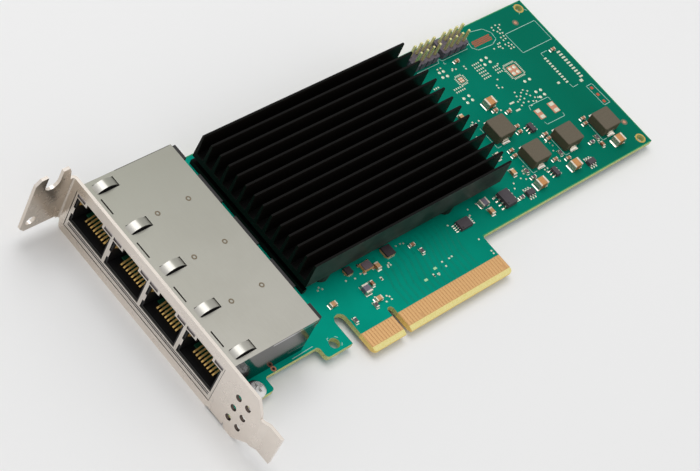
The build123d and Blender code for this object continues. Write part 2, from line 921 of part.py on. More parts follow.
# Chips under the heat sink, each a base, a metal lid and a thermal pad
for chip_name, chip_x in (("controller", controller_x), ("transceiver", transceiver_x)):
    with BuildPart() as chip_base:
        square_slab(chip_x, sink_middle_y, package_side, package_corner, 0, package_thickness)
    finish(chip_base, chip_name + "_base")

    with BuildPart() as chip_lid:
        square_slab(chip_x, sink_middle_y, lid_side, lid_corner, package_thickness, lid_thickness)
    finish(chip_lid, chip_name + "_lid")

    with BuildPart() as chip_pad:
        fill_box(
            (chip_x - pad_side / 2, sink_middle_y - pad_side / 2, package_thickness + lid_thickness),
            (chip_x + pad_side / 2, sink_middle_y + pad_side / 2, sink_base_z),
        )
    finish(chip_pad, chip_name + "_thermal_pad")

# Pin headers, each a notched base and its square pins
for header_name, header_x in (("a", header_a_x), ("b", header_b_x)):
    with BuildPart() as header_base:
        with BuildSketch():
            with Locations((header_x, header_y)):
                with GridLocations(pin_pitch, pin_pitch, header_columns, header_rows):
                    Rectangle(pin_pitch, pin_pitch - header_notch)
                    Rectangle(pin_pitch - header_notch, pin_pitch)
                Rectangle(pin_pitch * (header_columns - 1), pin_pitch * (header_rows - 1))
                with GridLocations(pin_pitch, pin_pitch, header_columns, header_rows):
                    Rectangle(pin_side + seat_gap, pin_side + seat_gap, mode=Mode.SUBTRACT)
        extrude(amount=header_height)
    finish(header_base, f"pin_header_{header_name}_base")

    with BuildPart() as header_pins:
        with BuildSketch(Plane.XY.offset(solder_face_z - pin_tail)):
            with Locations((header_x, header_y)):
                with GridLocations(pin_pitch, pin_pitch, header_columns, header_rows):
                    Rectangle(pin_side, pin_side)
        extrude(amount=pin_top_z - solder_face_z + pin_tail)
        chamfer(header_pins.faces().group_by(Axis.Z)[-1].edges(), pin_point)
    finish(header_pins, f"pin_header_{header_name}_pins")

# Power inductors
for inductor_number, inductor_share in enumerate(inductor_place_shares, start=1):
    inductor_x, inductor_y = board_spot(inductor_share)
    with BuildPart() as inductor:
        with BuildSketch(Plane.XY.offset(inductor_clip_thickness)) as inductor_plan:
            with Locations((inductor_x, inductor_y)):
                Rectangle(inductor_length, inductor_width)
            chamfer(inductor_plan.vertices(), inductor_corner)
        extrude(amount=inductor_height - inductor_clip_thickness)
        chamfer(inductor.faces().sort_by(Axis.Z)[-1].edges(), inductor_edge)
    finish(inductor, f"power_inductor_{inductor_number}")

# Solder clips of the inductors, folded under and up both ends
with BuildPart() as inductor_clips:
    for inductor_share in inductor_place_shares:
        inductor_x, inductor_y = board_spot(inductor_share)
        for side in (-1, 1):
            end_y = inductor_y + side * inductor_width / 2
            with BuildSketch(Plane.YZ.offset(inductor_x - inductor_clip_width / 2)):
                with BuildLine():
                    Polyline(
                        (end_y - side * inductor_clip_foot, 0),
                        (end_y + side * inductor_clip_thickness, 0),
                        (end_y + side * inductor_clip_thickness, inductor_clip_height),
                        (end_y, inductor_clip_height),
                        (end_y, inductor_clip_thickness),
                        (end_y - side * inductor_clip_foot, inductor_clip_thickness),
                        close=True,
                    )
                make_face()
            extrude(amount=inductor_clip_width)
finish(inductor_clips, "inductor_clips")


def chip_body(x, y, turn, length, width, height):
    """Moulded chip body with a slight taper to its top; a turned one has its length along Y."""
    size_x, size_y = (width, length) if turn else (length, width)
    with BuildSketch(Plane.XY.offset(chip_standoff)) as chip_floor:
        with Locations((x, y)):
            Rectangle(size_x, size_y)
    with BuildSketch(Plane.XY.offset(height)) as chip_top:
        with Locations((x, y)):
            Rectangle(size_x - 2 * chip_edge, size_y - 2 * chip_edge)
    loft([chip_floor.sketch, chip_top.sketch])


def gull_leads(x, y, turn, width, height, pitch, pins, reach):
    """Bent leads on two sides of a chip: the Y sides, or the X sides of a turned one."""
    knee_z = height / 2
    bend = reach * lead_foot_share
    for side in (-1, 1):
        outward = Vector(side, 0, 0) if turn else Vector(0, side, 0)
        along = outward.cross(Vector(0, 0, 1))
        for n in range(pins):
            spot = Vector(x, y, 0) + outward * (width / 2) + along * (pitch * (n - (pins - 1) / 2))
            with BuildSketch(Plane(spot, x_dir=outward, z_dir=along)) as lead:
                with BuildLine():
                    Polyline(
                        (0, knee_z - lead_thickness / 2),
                        (0, knee_z + lead_thickness / 2),
                        (bend, knee_z + lead_thickness / 2),
                        (bend + lead_thickness, lead_thickness),
                        (reach, lead_thickness),
                        (reach, 0),
                        (bend, 0),
                        (bend - lead_thickness, knee_z - lead_thickness / 2),
                        close=True,
                    )
                make_face()
            extrude(lead.sketch, amount=pitch * lead_fill_share / 2, both=True)


# Eight-lead regulator chip
soic_x, soic_y = board_spot(soic_place_share)
with BuildPart() as regulator_chip:
    chip_body(soic_x, soic_y, 1, soic_length, soic_width, soic_height)
finish(regulator_chip, "regulator_chip")

with BuildPart() as regulator_leads:
    gull_leads(soic_x, soic_y, 1, soic_width, soic_height, soic_pitch, soic_pins, soic_lead_reach)
finish(regulator_leads, "regulator_leads")

# Fine-pitch monitor chip
tssop_x = board_front_x + tssop_along_share * board_length
tssop_y = sink_low_y - tssop_sink_gap
with BuildPart() as monitor_chip:
    chip_body(tssop_x, tssop_y, 1, tssop_length, tssop_width, tssop_height)
finish(monitor_chip, "monitor_chip")

with BuildPart() as monitor_leads:
    gull_leads(tssop_x, tssop_y, 1, tssop_width, tssop_height, tssop_pitch, tssop_pins, tssop_lead_reach)
finish(monitor_leads, "monitor_leads")

# Small six-lead switch chips
with BuildPart() as switch_chips:
    for sot_share in sot_place_shares:
        chip_body(*board_spot(sot_share), sot_share[2], sot_length, sot_width, sot_height)
finish(switch_chips, "switch_chips")

with BuildPart() as switch_leads:
    for sot_share in sot_place_shares:
        sot_x, sot_y = board_spot(sot_share)
        gull_leads(sot_x, sot_y, sot_share[2], sot_width, sot_height, sot_pitch, sot_pins, sot_lead_reach)
finish(switch_leads, "switch_leads")

# Leadless logic and supply chips, flat on the board
with BuildPart() as logic_chips:
    with BuildSketch():
        with Locations(board_spot(logic_chip_share)):
            Rectangle(logic_chip_side, logic_chip_side)
        with Locations(board_spot(supply_chip_share)):
            Rectangle(supply_chip_side, supply_chip_side)
    extrude(amount=flat_chip_height)
finish(logic_chips, "logic_chips")

# Clock oscillator, a ceramic base and a metal lid
clock_x, clock_y = board_spot(clock_place_share)
with BuildPart() as clock_base:
    with BuildSketch():
        with Locations((clock_x, clock_y)):
            Rectangle(clock_length, clock_width)
    extrude(amount=clock_base_height)
finish(clock_base, "clock_base")

with BuildPart() as clock_lid:
    with BuildSketch(Plane.XY.offset(clock_base_height)) as lid_plan:
        with Locations((clock_x, clock_y)):
            Rectangle(clock_length - 2 * clock_lid_inset, clock_width - 2 * clock_lid_inset)
        chamfer(lid_plan.vertices(), clock_lid_inset)
    extrude(amount=clock_lid_height)
finish(clock_lid, "clock_lid")


def passive_core(place, size):
    """Body of a two-ended part between its end caps; the last share turns it by 90 degrees."""
    x, y = board_spot(place)
    length, width, height = size
    core = length * (1 - 2 * terminal_share)
    with BuildSketch() as body_plan:
        with Locations((x, y)):
            Rectangle(core, width, rotation=90 * place[2])
    extrude(body_plan.sketch, amount=height)


def passive_caps(place, size):
    """Two metal end caps of a two-ended part."""
    x, y = board_spot(place)
    length, width, height = size
    cap = length * terminal_share
    with BuildSketch() as caps_plan:
        with Locations(Location((x, y, 0), (0, 0, 90 * place[2]))):
            with GridLocations(length - cap, 0, 2, 1):
                Rectangle(cap, width + 2 * terminal_lip)
    extrude(caps_plan.sketch, amount=height + terminal_lip)


# Surface mount parts, with the bodies of each kind in one node and their end caps in another
passive_groups = (
    ("large_capacitor", large_capacitor_shares, large_chip),
    ("medium_capacitor", medium_capacitor_shares, medium_chip),
    ("small_capacitor", small_capacitor_shares, small_chip),
    ("resistor", resistor_shares, small_chip),
    ("ferrite_bead", bead_shares, bead_chip),
)
for group_name, group_shares, group_size in passive_groups:
    with BuildPart() as bodies:
        for group_place in group_shares:
            passive_core(group_place, group_size)
    finish(bodies, group_name + "_bodies")

    with BuildPart() as end_caps:
        for group_place in group_shares:
            passive_caps(group_place, group_size)
    finish(end_caps, group_name + "_end_caps")
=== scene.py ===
"""Looks of the four-port network interface card: finishes, print, solder and small marks.

The frame's own axes are used. X runs along the card to the rear, Y runs up from the edge
contacts and Z points out of the component side. Sizes are written in millimetres, and MM
turns them into metres.
"""

import json
from math import cos, hypot, pi, sin

import bmesh
import bpy
from mathutils import Matrix, Vector


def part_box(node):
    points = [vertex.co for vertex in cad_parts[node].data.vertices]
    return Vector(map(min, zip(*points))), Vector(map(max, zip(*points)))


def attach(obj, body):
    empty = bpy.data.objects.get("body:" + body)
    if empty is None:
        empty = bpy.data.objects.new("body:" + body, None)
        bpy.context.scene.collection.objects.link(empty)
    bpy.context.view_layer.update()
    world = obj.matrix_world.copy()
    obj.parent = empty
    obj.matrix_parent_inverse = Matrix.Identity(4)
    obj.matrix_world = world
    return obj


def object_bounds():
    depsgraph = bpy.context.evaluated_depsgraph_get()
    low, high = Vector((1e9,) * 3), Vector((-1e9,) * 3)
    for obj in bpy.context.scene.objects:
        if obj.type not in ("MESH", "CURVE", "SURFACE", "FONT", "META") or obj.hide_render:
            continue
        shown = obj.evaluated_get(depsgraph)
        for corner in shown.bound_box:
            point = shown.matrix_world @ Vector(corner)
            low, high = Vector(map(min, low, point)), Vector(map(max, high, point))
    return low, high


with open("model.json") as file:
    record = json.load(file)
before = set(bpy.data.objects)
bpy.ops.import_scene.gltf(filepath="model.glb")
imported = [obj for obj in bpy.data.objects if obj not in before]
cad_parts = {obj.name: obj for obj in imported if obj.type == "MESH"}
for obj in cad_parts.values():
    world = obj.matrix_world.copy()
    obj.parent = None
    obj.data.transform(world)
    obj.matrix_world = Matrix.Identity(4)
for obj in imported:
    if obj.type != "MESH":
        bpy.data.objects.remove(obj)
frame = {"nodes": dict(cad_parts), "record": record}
cad_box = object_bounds()

MM = 0.001
ROOT = "root"
nodes = frame["nodes"]


def box_of(name):
    """A node's lowest and highest corners, in millimetres."""
    return tuple(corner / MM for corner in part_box(name))


# Heights on the two faces of the board. What lies on a face starts a little way inside it
component_face = 0.0
solder_face = box_of("board")[0].z
sunk = 0.02
component_foot = component_face - sunk
solder_foot = solder_face + sunk
print_height = 0.02
pad_height = 0.035
copper_height = 0.03
varnish_height = 0.02

# Corners closer than this are one corner
weld_distance = 0.001

port_numbers = inductor_numbers = (1, 2, 3, 4)
inductor_boxes = [box_of("power_inductor_" + str(n)) for n in inductor_numbers]


def new_object(name, data):
    """An object in the scene that shows this data."""
    made = bpy.data.objects.new(name, data)
    bpy.context.scene.collection.objects.link(made)
    return made


# Node helpers

def new_material(name):
    """A node material, with its tree and its shader."""
    made = bpy.data.materials.new(name)
    made.use_nodes = True
    return made, made.node_tree, made.node_tree.nodes["Principled BSDF"]


def srgb(red, green, blue):
    """Linear colour from eight-bit values as they look on a screen."""
    def linear(value):
        value /= 255
        return value / 12.92 if value <= 0.04045 else ((value + 0.055) / 1.055) ** 2.4
    return (linear(red), linear(green), linear(blue), 1.0)


def shade(color, factor):
    """The colour made lighter or darker."""
    return tuple(min(1.0, part * factor) for part in color[:3]) + (1.0,)


def add(tree, kind, **values):
    """A node of this kind, with its plain properties set."""
    made = tree.nodes.new("ShaderNode" + kind)
    for key, value in values.items():
        setattr(made, key, value)
    return made


def feed(tree, value, socket):
    """Link a socket, or set a plain value."""
    if isinstance(value, bpy.types.NodeSocket):
        tree.links.new(value, socket)
    else:
        socket.default_value = value


def noise(tree, scale, detail=3.0, roughness=0.5, stretch=(1, 1, 1)):
    """Noise in the object's own coordinates, with its scale per metre."""
    coords = add(tree, "TexCoord")
    mapping = add(tree, "Mapping")
    mapping.inputs["Scale"].default_value = stretch
    tree.links.new(coords.outputs["Object"], mapping.inputs["Vector"])
    texture = add(tree, "TexNoise")
    texture.inputs["Scale"].default_value = scale
    texture.inputs["Detail"].default_value = detail
    texture.inputs["Roughness"].default_value = roughness
    tree.links.new(mapping.outputs["Vector"], texture.inputs["Vector"])
    return texture.outputs["Fac"]


def ramp(tree, source, stops):
    """Colour ramp over the source, from (place, colour) stops."""
    made = add(tree, "ValToRGB")
    elements = made.color_ramp.elements
    while len(elements) < len(stops):
        elements.new(0.5)
    for element, (place, color) in zip(elements, stops):
        element.position = place
        element.color = color
    tree.links.new(source, made.inputs["Fac"])
    return made.outputs["Color"]


def grain(tree, color, spread, scale):
    """The colour, a little lighter and darker over fine noise."""
    stops = ((0.3, shade(color, 1 - spread)), (0.7, shade(color, 1 + spread)))
    return ramp(tree, noise(tree, scale, 3.0, 0.55), stops)


def span(tree, source, to_low, to_high, low=0.0, high=1.0):
    """The source stretched from one range to another and clamped."""
    made = add(tree, "MapRange")
    limits = (("From Min", low), ("From Max", high), ("To Min", to_low), ("To Max", to_high))
    for socket, value in limits:
        made.inputs[socket].default_value = value
    tree.links.new(source, made.inputs["Value"])
    return made.outputs["Result"]


def fade(tree, place, limits, to_low=0.0, to_high=1.0):
    """One value to another between two places in millimetres."""
    return span(tree, place, to_low, to_high, limits[0] * MM, limits[1] * MM)


def uneven(tree, scale, roughness):
    """Roughness that wanders a little about its mean."""
    return span(tree, noise(tree, scale), roughness * 0.85, roughness * 1.15)


def mix(tree, factor, first, second):
    """Colour between two colours or sockets."""
    made = add(tree, "Mix", data_type="RGBA")
    colors = [socket for socket in made.inputs if socket.type == "RGBA"]
    feed(tree, factor, made.inputs["Factor"])
    feed(tree, first, colors[0])
    feed(tree, second, colors[1])
    return [socket for socket in made.outputs if socket.type == "RGBA"][0]


def calc(tree, operation, first, second=0.0):
    """Result of a sum or test on sockets or numbers."""
    made = add(tree, "Math", operation=operation)
    feed(tree, first, made.inputs[0])
    feed(tree, second, made.inputs[1])
    return made.outputs["Value"]


def over(tree, value, limit):
    """1 where the value is above the limit, else 0."""
    return calc(tree, "GREATER_THAN", value, limit)


def under(tree, value, limit):
    """1 where the value is below the limit, else 0."""
    return calc(tree, "LESS_THAN", value, limit)


def both(tree, first, second):
    """1 where two tests hold, else 0."""
    return calc(tree, "MULTIPLY", first, second)


def between(tree, place, limits):
    """1 between two places in millimetres, else 0."""
    return both(tree, over(tree, place, limits[0] * MM), under(tree, place, limits[1] * MM))


def size_of(tree, value):
    """The value without its sign."""
    return calc(tree, "ABSOLUTE", value)


def axes(tree, kind):
    """The three parts of the shaded point or its normal, or of the world's direction ("Generated")."""
    coords = add(tree, "TexCoord")
    split = add(tree, "SeparateXYZ")
    tree.links.new(coords.outputs[kind], split.inputs["Vector"])
    return split.outputs["X"], split.outputs["Y"], split.outputs["Z"]


def coat(tree, shader, color, roughness, metallic=0.0, specular=0.5):
    """The shader's colour and roughness from sockets, and its plain values."""
    tree.links.new(color, shader.inputs["Base Color"])
    tree.links.new(roughness, shader.inputs["Roughness"])
    shader.inputs["Metallic"].default_value = metallic
    shader.inputs["Specular IOR Level"].default_value = specular


def bump(tree, shader, height, strength, distance):
    """Relief on the shader from a height, with its distance in metres."""
    made = add(tree, "Bump")
    made.inputs["Strength"].default_value = strength
    made.inputs["Distance"].default_value = distance
    tree.links.new(height, made.inputs["Height"])
    tree.links.new(made.outputs["Normal"], shader.inputs["Normal"])


# Finishes

# A face looks along an axis when that part of its normal is above this
facing = 0.7

# How deep the bumps of a finish are: in moulded and sawn surfaces, and in sheet metal
fine_relief = 0.02 * MM
broad_relief = 0.1 * MM


def mottled(name, color, roughness, spread=0.12, scale=900.0, relief=0.0, specular=0.3):
    """Dull finish with slight changes of tone, gloss and grain."""
    made, tree, shader = new_material(name)
    gloss = uneven(tree, scale / 2, roughness)
    coat(tree, shader, grain(tree, color, spread, scale), gloss, specular=specular)
    if relief:
        bump(tree, shader, noise(tree, scale * 3, 2.0), relief, fine_relief)
    return made


def sided(name, top, side, roughness, spread=0.1, specular=0.3):
    """Dull top and side colours: painted shade on ceramic and inductor sides, resistors' own two
    tones.
    """
    made, tree, shader = new_material(name)
    upper = grain(tree, top, spread, 2200.0)
    lower = grain(tree, side, spread, 2600.0)
    color = mix(tree, over(tree, axes(tree, "Normal")[2], facing), lower, upper)
    coat(tree, shader, color, uneven(tree, 1500.0, roughness), specular=specular)
    bump(tree, shader, noise(tree, 5000.0, 2.0), 0.15, fine_relief)
    return made


def plated(name, color, roughness, wave=0.05, scale=160.0, metallic=1.0):
    """Plated metal with a slow unevenness and a fine grain."""
    made, tree, shader = new_material(name)
    gloss = span(tree, noise(tree, scale * 9, 3.0, 0.6), roughness * 0.8, roughness * 1.25)
    coat(tree, shader, grain(tree, color, 0.05, scale * 14), gloss, metallic)
    bump(tree, shader, noise(tree, scale, 2.0), wave, broad_relief)
    return made


# Where the board's mask stops above and beside the edge contacts, and where its tone changes
mask_lower_y = 5.75
mask_left_x = -13.0
mask_fade_x = (-20.0, 100.0)

# A face of the board is bevel or cut wall when its normal is less upright than this
bevel_lean = 0.985
wall_lean = 0.6


def solder_mask():
    """Green mask, with bare laminate at the edges, the bevel and between the contacts."""
    made, tree, shader = new_material("solder_mask")
    x, y, _ = axes(tree, "Object")
    upright = size_of(tree, axes(tree, "Normal")[2])
    pour = mix(tree, fade(tree, x, mask_fade_x), srgb(0, 162, 140), srgb(0, 110, 88))
    cloud = span(tree, noise(tree, 70.0), 0.0, 0.3, 0.35, 0.7)
    green = mix(tree, cloud, pour, srgb(0, 104, 80))
    weave = noise(tree, 2600.0, 2.0)
    cut = ramp(tree, weave, ((0.3, srgb(176, 182, 118)), (0.7, srgb(214, 218, 158))))
    bevel = ramp(tree, weave, ((0.3, srgb(232, 218, 138)), (0.7, srgb(244, 232, 166))))
    bare = ramp(tree, weave, ((0.3, srgb(206, 158, 108)), (0.7, srgb(220, 174, 122))))
    above, beside = over(tree, y, mask_lower_y * MM), under(tree, x, mask_left_x * MM)
    masked = calc(tree, "MAXIMUM", above, beside)
    color = mix(tree, masked, bare, green)
    color = mix(tree, under(tree, upright, bevel_lean), color, bevel)
    wall = mix(tree, masked, srgb(246, 214, 132), cut)
    color = mix(tree, under(tree, upright, wall_lean), color, wall)
    coat(tree, shader, color, span(tree, upright, 0.65, 0.35, 0.9, 0.99), specular=0.02)
    bump(tree, shader, noise(tree, 1200.0, 2.0), 0.1, fine_relief)
    return made


# The heat sink's outer face towards the contacts lies below this line, and faces away from the sink
# That face gets a painted greenish reflection of the board
sink_outer_y = 22.8
outer_facing = -0.8


def anodised():
    """Deep black coat, smooth enough for the fins to mirror each other, painted board reflection on
    its outer face.
    """
    made, tree, shader = new_material("sink_black")
    # Painted highlight: the fin tops lighter than their sides
    fin_top_highlight = over(tree, axes(tree, "Normal")[2], facing)
    tone = mix(tree, fin_top_highlight, srgb(27, 24, 21), srgb(9, 8, 7))
    black = mix(tree, span(tree, noise(tree, 1800.0), 0.0, 0.3), tone, srgb(6, 5, 4))
    # Painted reflection of the green board on the outer face, with a slow unevenness
    stops = ((0.35, srgb(30, 40, 35)), (0.65, srgb(58, 64, 60)))
    painted_board_reflection = ramp(tree, noise(tree, 120.0, 4.0, 0.6), stops)
    low = under(tree, axes(tree, "Object")[1], sink_outer_y * MM)
    outer = both(tree, low, under(tree, axes(tree, "Normal")[1], outer_facing))
    drawn = noise(tree, 900.0, 3.0, 0.5, (0.05, 1, 1))
    gloss = span(tree, drawn, 0.3, 0.42)
    coat(tree, shader, mix(tree, outer, black, painted_board_reflection), gloss, specular=0.07)
    bump(tree, shader, drawn, 0.08, fine_relief)
    return made


# The shield is darker towards the far ports. A fold runs along the rear part of its side wall
# towards the contacts, as a painted shade line over a painted highlight line, each between two heights
shield_fade_y = (15.0, 65.0)
fold_front_x = -43.6
fold_shade_and_highlight = (((12.82, 13.14), srgb(84, 80, 80)), ((12.1, 12.82), srgb(196, 192, 196)))

# The front halves of the springs get a painted highlight: they lean forward by more than this, and
# face up by more than this
spring_ahead = -0.07
spring_upward = 0.5

# Noise stretched across the ports, the way that the shield's sheet was rolled
rolled_across = (3, 0.12, 3)


def satin_shield():
    """Dull nickel with faint stains, a painted reflection in front, painted shade on its smoother
    sides.
    """
    made, tree, shader = new_material("shield_nickel")
    x, y, z = axes(tree, "Object")
    ahead, aside, upward = axes(tree, "Normal")
    clean = mix(tree, fade(tree, y, shield_fade_y, 1.0, 0.0), srgb(146, 146, 136), srgb(168, 166, 158))
    streaks = span(tree, noise(tree, 2400.0, 3.0, 0.6, rolled_across), 0.0, 0.3)
    rolled = mix(tree, streaks, clean, srgb(140, 138, 130))
    stains = span(tree, noise(tree, 60.0, 4.0, 0.6), 0.0, 0.3, 0.4, 0.75)
    top = mix(tree, stains, rolled, srgb(140, 138, 128))
    # Painted shade: the side walls darker than the top, one wall plain and the other with the fold
    side = over(tree, size_of(tree, aside), facing)
    # Painted highlight on the springs' front halves
    spring_highlight = both(tree, under(tree, ahead, spring_ahead), over(tree, upward, spring_upward))
    behind = over(tree, x, fold_front_x * MM)
    shaded_flank = srgb(84, 82, 84)
    for heights, tone in fold_shade_and_highlight:
        shaded_flank = mix(tree, both(tree, between(tree, z, heights), behind), shaded_flank, tone)
    shaded_flank = mix(tree, under(tree, aside, 0.0), srgb(88, 85, 86), shaded_flank)
    color = mix(tree, spring_highlight, top, srgb(174, 172, 166))
    color = mix(tree, side, color, shaded_flank)
    # Painted reflection: the front faces paler
    color = mix(tree, under(tree, ahead, -facing), color, srgb(222, 215, 207))
    gloss = span(tree, noise(tree, 1400.0, 3.0, 0.6, rolled_across), 0.3, 0.44)
    gloss = calc(tree, "MULTIPLY", gloss, span(tree, side, 1.0, 0.4))
    coat(tree, shader, color, gloss, metallic=1.0)
    bump(tree, shader, noise(tree, 90.0, 2.0), 0.05, broad_relief)
    return made


# Flat chips are tan carrier up to this height, and dark mould above it
carrier_height = 0.42


def flat_chip():
    """Dark moulded top over a tan carrier, for chips without leads."""
    made, tree, shader = new_material("flat_chip")
    mould = grain(tree, srgb(62, 54, 58), 0.12, 2200.0)
    carrier = grain(tree, srgb(204, 156, 104), 0.1, 2600.0)
    color = mix(tree, under(tree, axes(tree, "Object")[2], carrier_height * MM), mould, carrier)
    coat(tree, shader, color, span(tree, noise(tree, 1500.0), 0.42, 0.6), specular=0.3)
    bump(tree, shader, noise(tree, 5000.0, 2.0), 0.15, fine_relief)
    return made


# Where the bracket's vents lie, how little their walls face forward for their painted shade, and
# where painted shade darkens its face towards the bend
vent_y = (-2.1, 6.7)
vent_z = (-0.4, 11.6)
vent_wall_facing = 0.5
bracket_shade_y = (40.0, 72.0)


def bracket_plate():
    """Pale nickel on the bracket, with painted shade towards its bend and on the walls of its vents.
    """
    made, tree, shader = new_material("bracket_nickel")
    _, y, z = axes(tree, "Object")
    ahead, _, upward = axes(tree, "Normal")
    plate = grain(tree, srgb(233, 224, 215), 0.02, 260.0)
    # Painted shade: darker towards the bend
    color = mix(tree, fade(tree, y, bracket_shade_y), plate, srgb(212, 202, 190))
    color = mix(tree, over(tree, upward, facing), color, srgb(208, 200, 191))
    # Painted shade on the walls of the vents
    vents = both(tree, between(tree, y, vent_y), between(tree, z, vent_z))
    walls = both(tree, vents, under(tree, size_of(tree, ahead), vent_wall_facing))
    color = mix(tree, walls, color, srgb(84, 74, 68))
    coat(tree, shader, color, span(tree, noise(tree, 300.0), 0.24, 0.32), metallic=1.0)
    bump(tree, shader, noise(tree, 60.0, 1.0), 0.02, broad_relief)
    return made


finishes = {
    "board_laminate": solder_mask(),
    "gold_plating": plated("gold_plating", srgb(208, 165, 114), 0.32),
    "bracket_nickel": bracket_plate(),
    "screw_steel": plated("screw_steel", srgb(214, 214, 212), 0.22),
    "shield_nickel": satin_shield(),
    "housing_plastic": mottled("housing_plastic", srgb(30, 29, 30), 0.42, relief=0.1),
    "contact_board_laminate": mottled("contact_board_laminate", srgb(34, 104, 76), 0.4),
    "lamp_window": mottled("lamp_window", srgb(176, 166, 170), 0.3),
    "sink_black": anodised(),
    "package_laminate": mottled("package_laminate", srgb(30, 90, 66), 0.5),
    "package_lid": plated("package_lid", srgb(185, 185, 185), 0.3),
    "thermal_pad": mottled("thermal_pad", srgb(160, 170, 180), 0.8, relief=0.3),
    "header_plastic": mottled("header_plastic", srgb(98, 90, 102), 0.5, relief=0.2),
    # The darker sides of the inductor cores and ceramic bodies below are painted shade
    "inductor_core": sided("inductor_core", srgb(105, 97, 83), srgb(88, 84, 66), 0.6, 0.08, 0.1),
    "chip_mould": mottled("chip_mould", srgb(70, 64, 69), 0.55, 0.1, 2500.0, 0.2),
    "bead_ferrite": mottled("bead_ferrite", srgb(118, 112, 126), 0.45),
    "clock_ceramic": mottled("clock_ceramic", srgb(208, 160, 104), 0.5),
    "capacitor_ceramic": sided("capacitor_ceramic", srgb(170, 116, 84), srgb(130, 84, 58), 0.5),
    "solder_tin": plated("solder_tin", srgb(232, 226, 214), 0.24, 0.12, 500.0),
    "end_cap": plated("end_cap", srgb(216, 206, 190), 0.42, 0.1, 500.0, metallic=0.75),
    "tinned_pad": plated("tinned_pad", srgb(206, 208, 188), 0.4, 0.2, 900.0, metallic=0.8),
    "large_ceramic": sided("large_ceramic", srgb(198, 140, 84), srgb(160, 108, 62), 0.5),
    "medium_ceramic": sided("medium_ceramic", srgb(206, 158, 112), srgb(160, 116, 76), 0.5),
    "flat_chip": flat_chip(),
    "resistor_body": sided("resistor_body", srgb(92, 76, 84), srgb(190, 180, 168), 0.45),
    "clock_lid": mottled("clock_lid", srgb(112, 98, 104), 0.4, 0.1, 2000.0),
    "pin_gold": plated("pin_gold", srgb(228, 222, 158), 0.34, metallic=0.6),
    "dull_gold": plated("dull_gold", srgb(186, 162, 92), 0.45),
    "port_gold": plated("port_gold", srgb(226, 190, 118), 0.5),
    "print": mottled("print", srgb(176, 216, 204), 0.6, 0.06),
    "pale_pad": mottled("pale_pad", srgb(178, 222, 170), 0.5, 0.06),
    "bare_copper": mottled("bare_copper", srgb(204, 140, 110), 0.4, 0.18, 3000.0),
    "red_mask": mottled("red_mask", srgb(190, 78, 50), 0.45),
    "halo": mottled("halo", srgb(104, 106, 86), 0.45),
    # Paler green strip of painted highlight along the board's edges
    "rim": mottled("rim", srgb(36, 152, 92), 0.4),
    "trace": mottled("trace", srgb(0, 128, 106), 0.35, specular=0.1),
    # Painted shade in grooves, a fold and a via, also used for the chips' moulded pin dots
    "painted_shade_and_dots": mottled("painted_shade_and_dots", srgb(40, 38, 36), 0.5),
    "dimple": mottled("dimple", srgb(118, 106, 86), 0.5),
}

# Nodes whose finish differs from the rest of their slot
own_finish = {
    "large_capacitor_bodies": "large_ceramic",
    "medium_capacitor_bodies": "medium_ceramic",
    "logic_chips": "flat_chip",
    "resistor_bodies": "resistor_body",
    "clock_lid": "clock_lid",
    "port_ground_springs": "port_gold",
    "pin_header_a_pins": "pin_gold",
    "pin_header_b_pins": "pin_gold",
}
for port in port_numbers:
    own_finish["port_" + str(port) + "_contacts"] = "port_gold"
for kind in ("large_capacitor", "medium_capacitor", "small_capacitor", "ferrite_bead"):
    own_finish[kind + "_end_caps"] = "end_cap"

# Fine bevels that catch the light, on edges that turn by more than the angle
bevel_widths = {
    "heat_sink": 0.05,
    "pin_header_a_base": 0.08,
    "pin_header_b_base": 0.08,
    "large_capacitor_bodies": 0.08,
    "large_capacitor_end_caps": 0.12,
    "medium_capacitor_end_caps": 0.08,
    "small_capacitor_end_caps": 0.06,
    "resistor_end_caps": 0.06,
}
bevel_angle = 0.7


def dress_nodes():
    """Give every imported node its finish, and the sharp ones a fine bevel."""
    slots = {part["node"]: part["material_slot"] for part in frame["record"]["subparts"]}
    for name, node in nodes.items():
        node.data.materials.clear()
        node.data.materials.append(finishes[own_finish.get(name, slots[name])])
    for name, width in bevel_widths.items():
        weld = nodes[name].modifiers.new("weld", "WELD")
        weld.merge_threshold = weld_distance * MM
        bevel = nodes[name].modifiers.new("bevel", "BEVEL")
        bevel.width = width * MM
        bevel.segments = 2
        bevel.limit_method = "ANGLE"
        bevel.angle_limit = bevel_angle
        bevel.harden_normals = True


# Shapes in millimetres, each a closed solid in one mesh. piece() turns their faces outwards

def corners_at(mesh, points, height):
    """A solid's corners at one height."""
    return [mesh.verts.new((x * MM, y * MM, height * MM)) for x, y in points]


def walls(mesh, first, second):
    """Faces between two rows of corners."""
    for n in range(len(first)):
        after = (n + 1) % len(first)
        mesh.faces.new((first[n], first[after], second[after], second[n]))


def prism(mesh, outline, low, high):
    """Slab between two heights over an outline."""
    bottom = corners_at(mesh, outline, low)
    top = corners_at(mesh, outline, high)
    mesh.faces.new(bottom[::-1])
    mesh.faces.new(top)
    walls(mesh, bottom, top)


def bar(mesh, low, high):
    """Block between two corners."""
    outline = ((low[0], low[1]), (high[0], low[1]), (high[0], high[1]), (low[0], high[1]))
    prism(mesh, outline, low[2], high[2])


def block(mesh, x, y, length, width, low, high):
    """Block between two heights over a rectangle about a centre."""
    bar(mesh, (x - length / 2, y - width / 2, low), (x + length / 2, y + width / 2, high))


def circle(x, y, radius, sides=16):
    """Points round a centre."""
    steps = [2 * pi * n / sides for n in range(sides)]
    return [(x + radius * cos(turn), y + radius * sin(turn)) for turn in steps]


def ring(mesh, x, y, outer, inner, low, high, sides=32):
    """Flat ring, closed on all sides."""
    profile = ((inner, low), (outer, low), (outer, high), (inner, high))
    loops = [corners_at(mesh, circle(x, y, radius, sides), height) for radius, height in profile]
    for n in range(4):
        walls(mesh, loops[n - 1], loops[n])


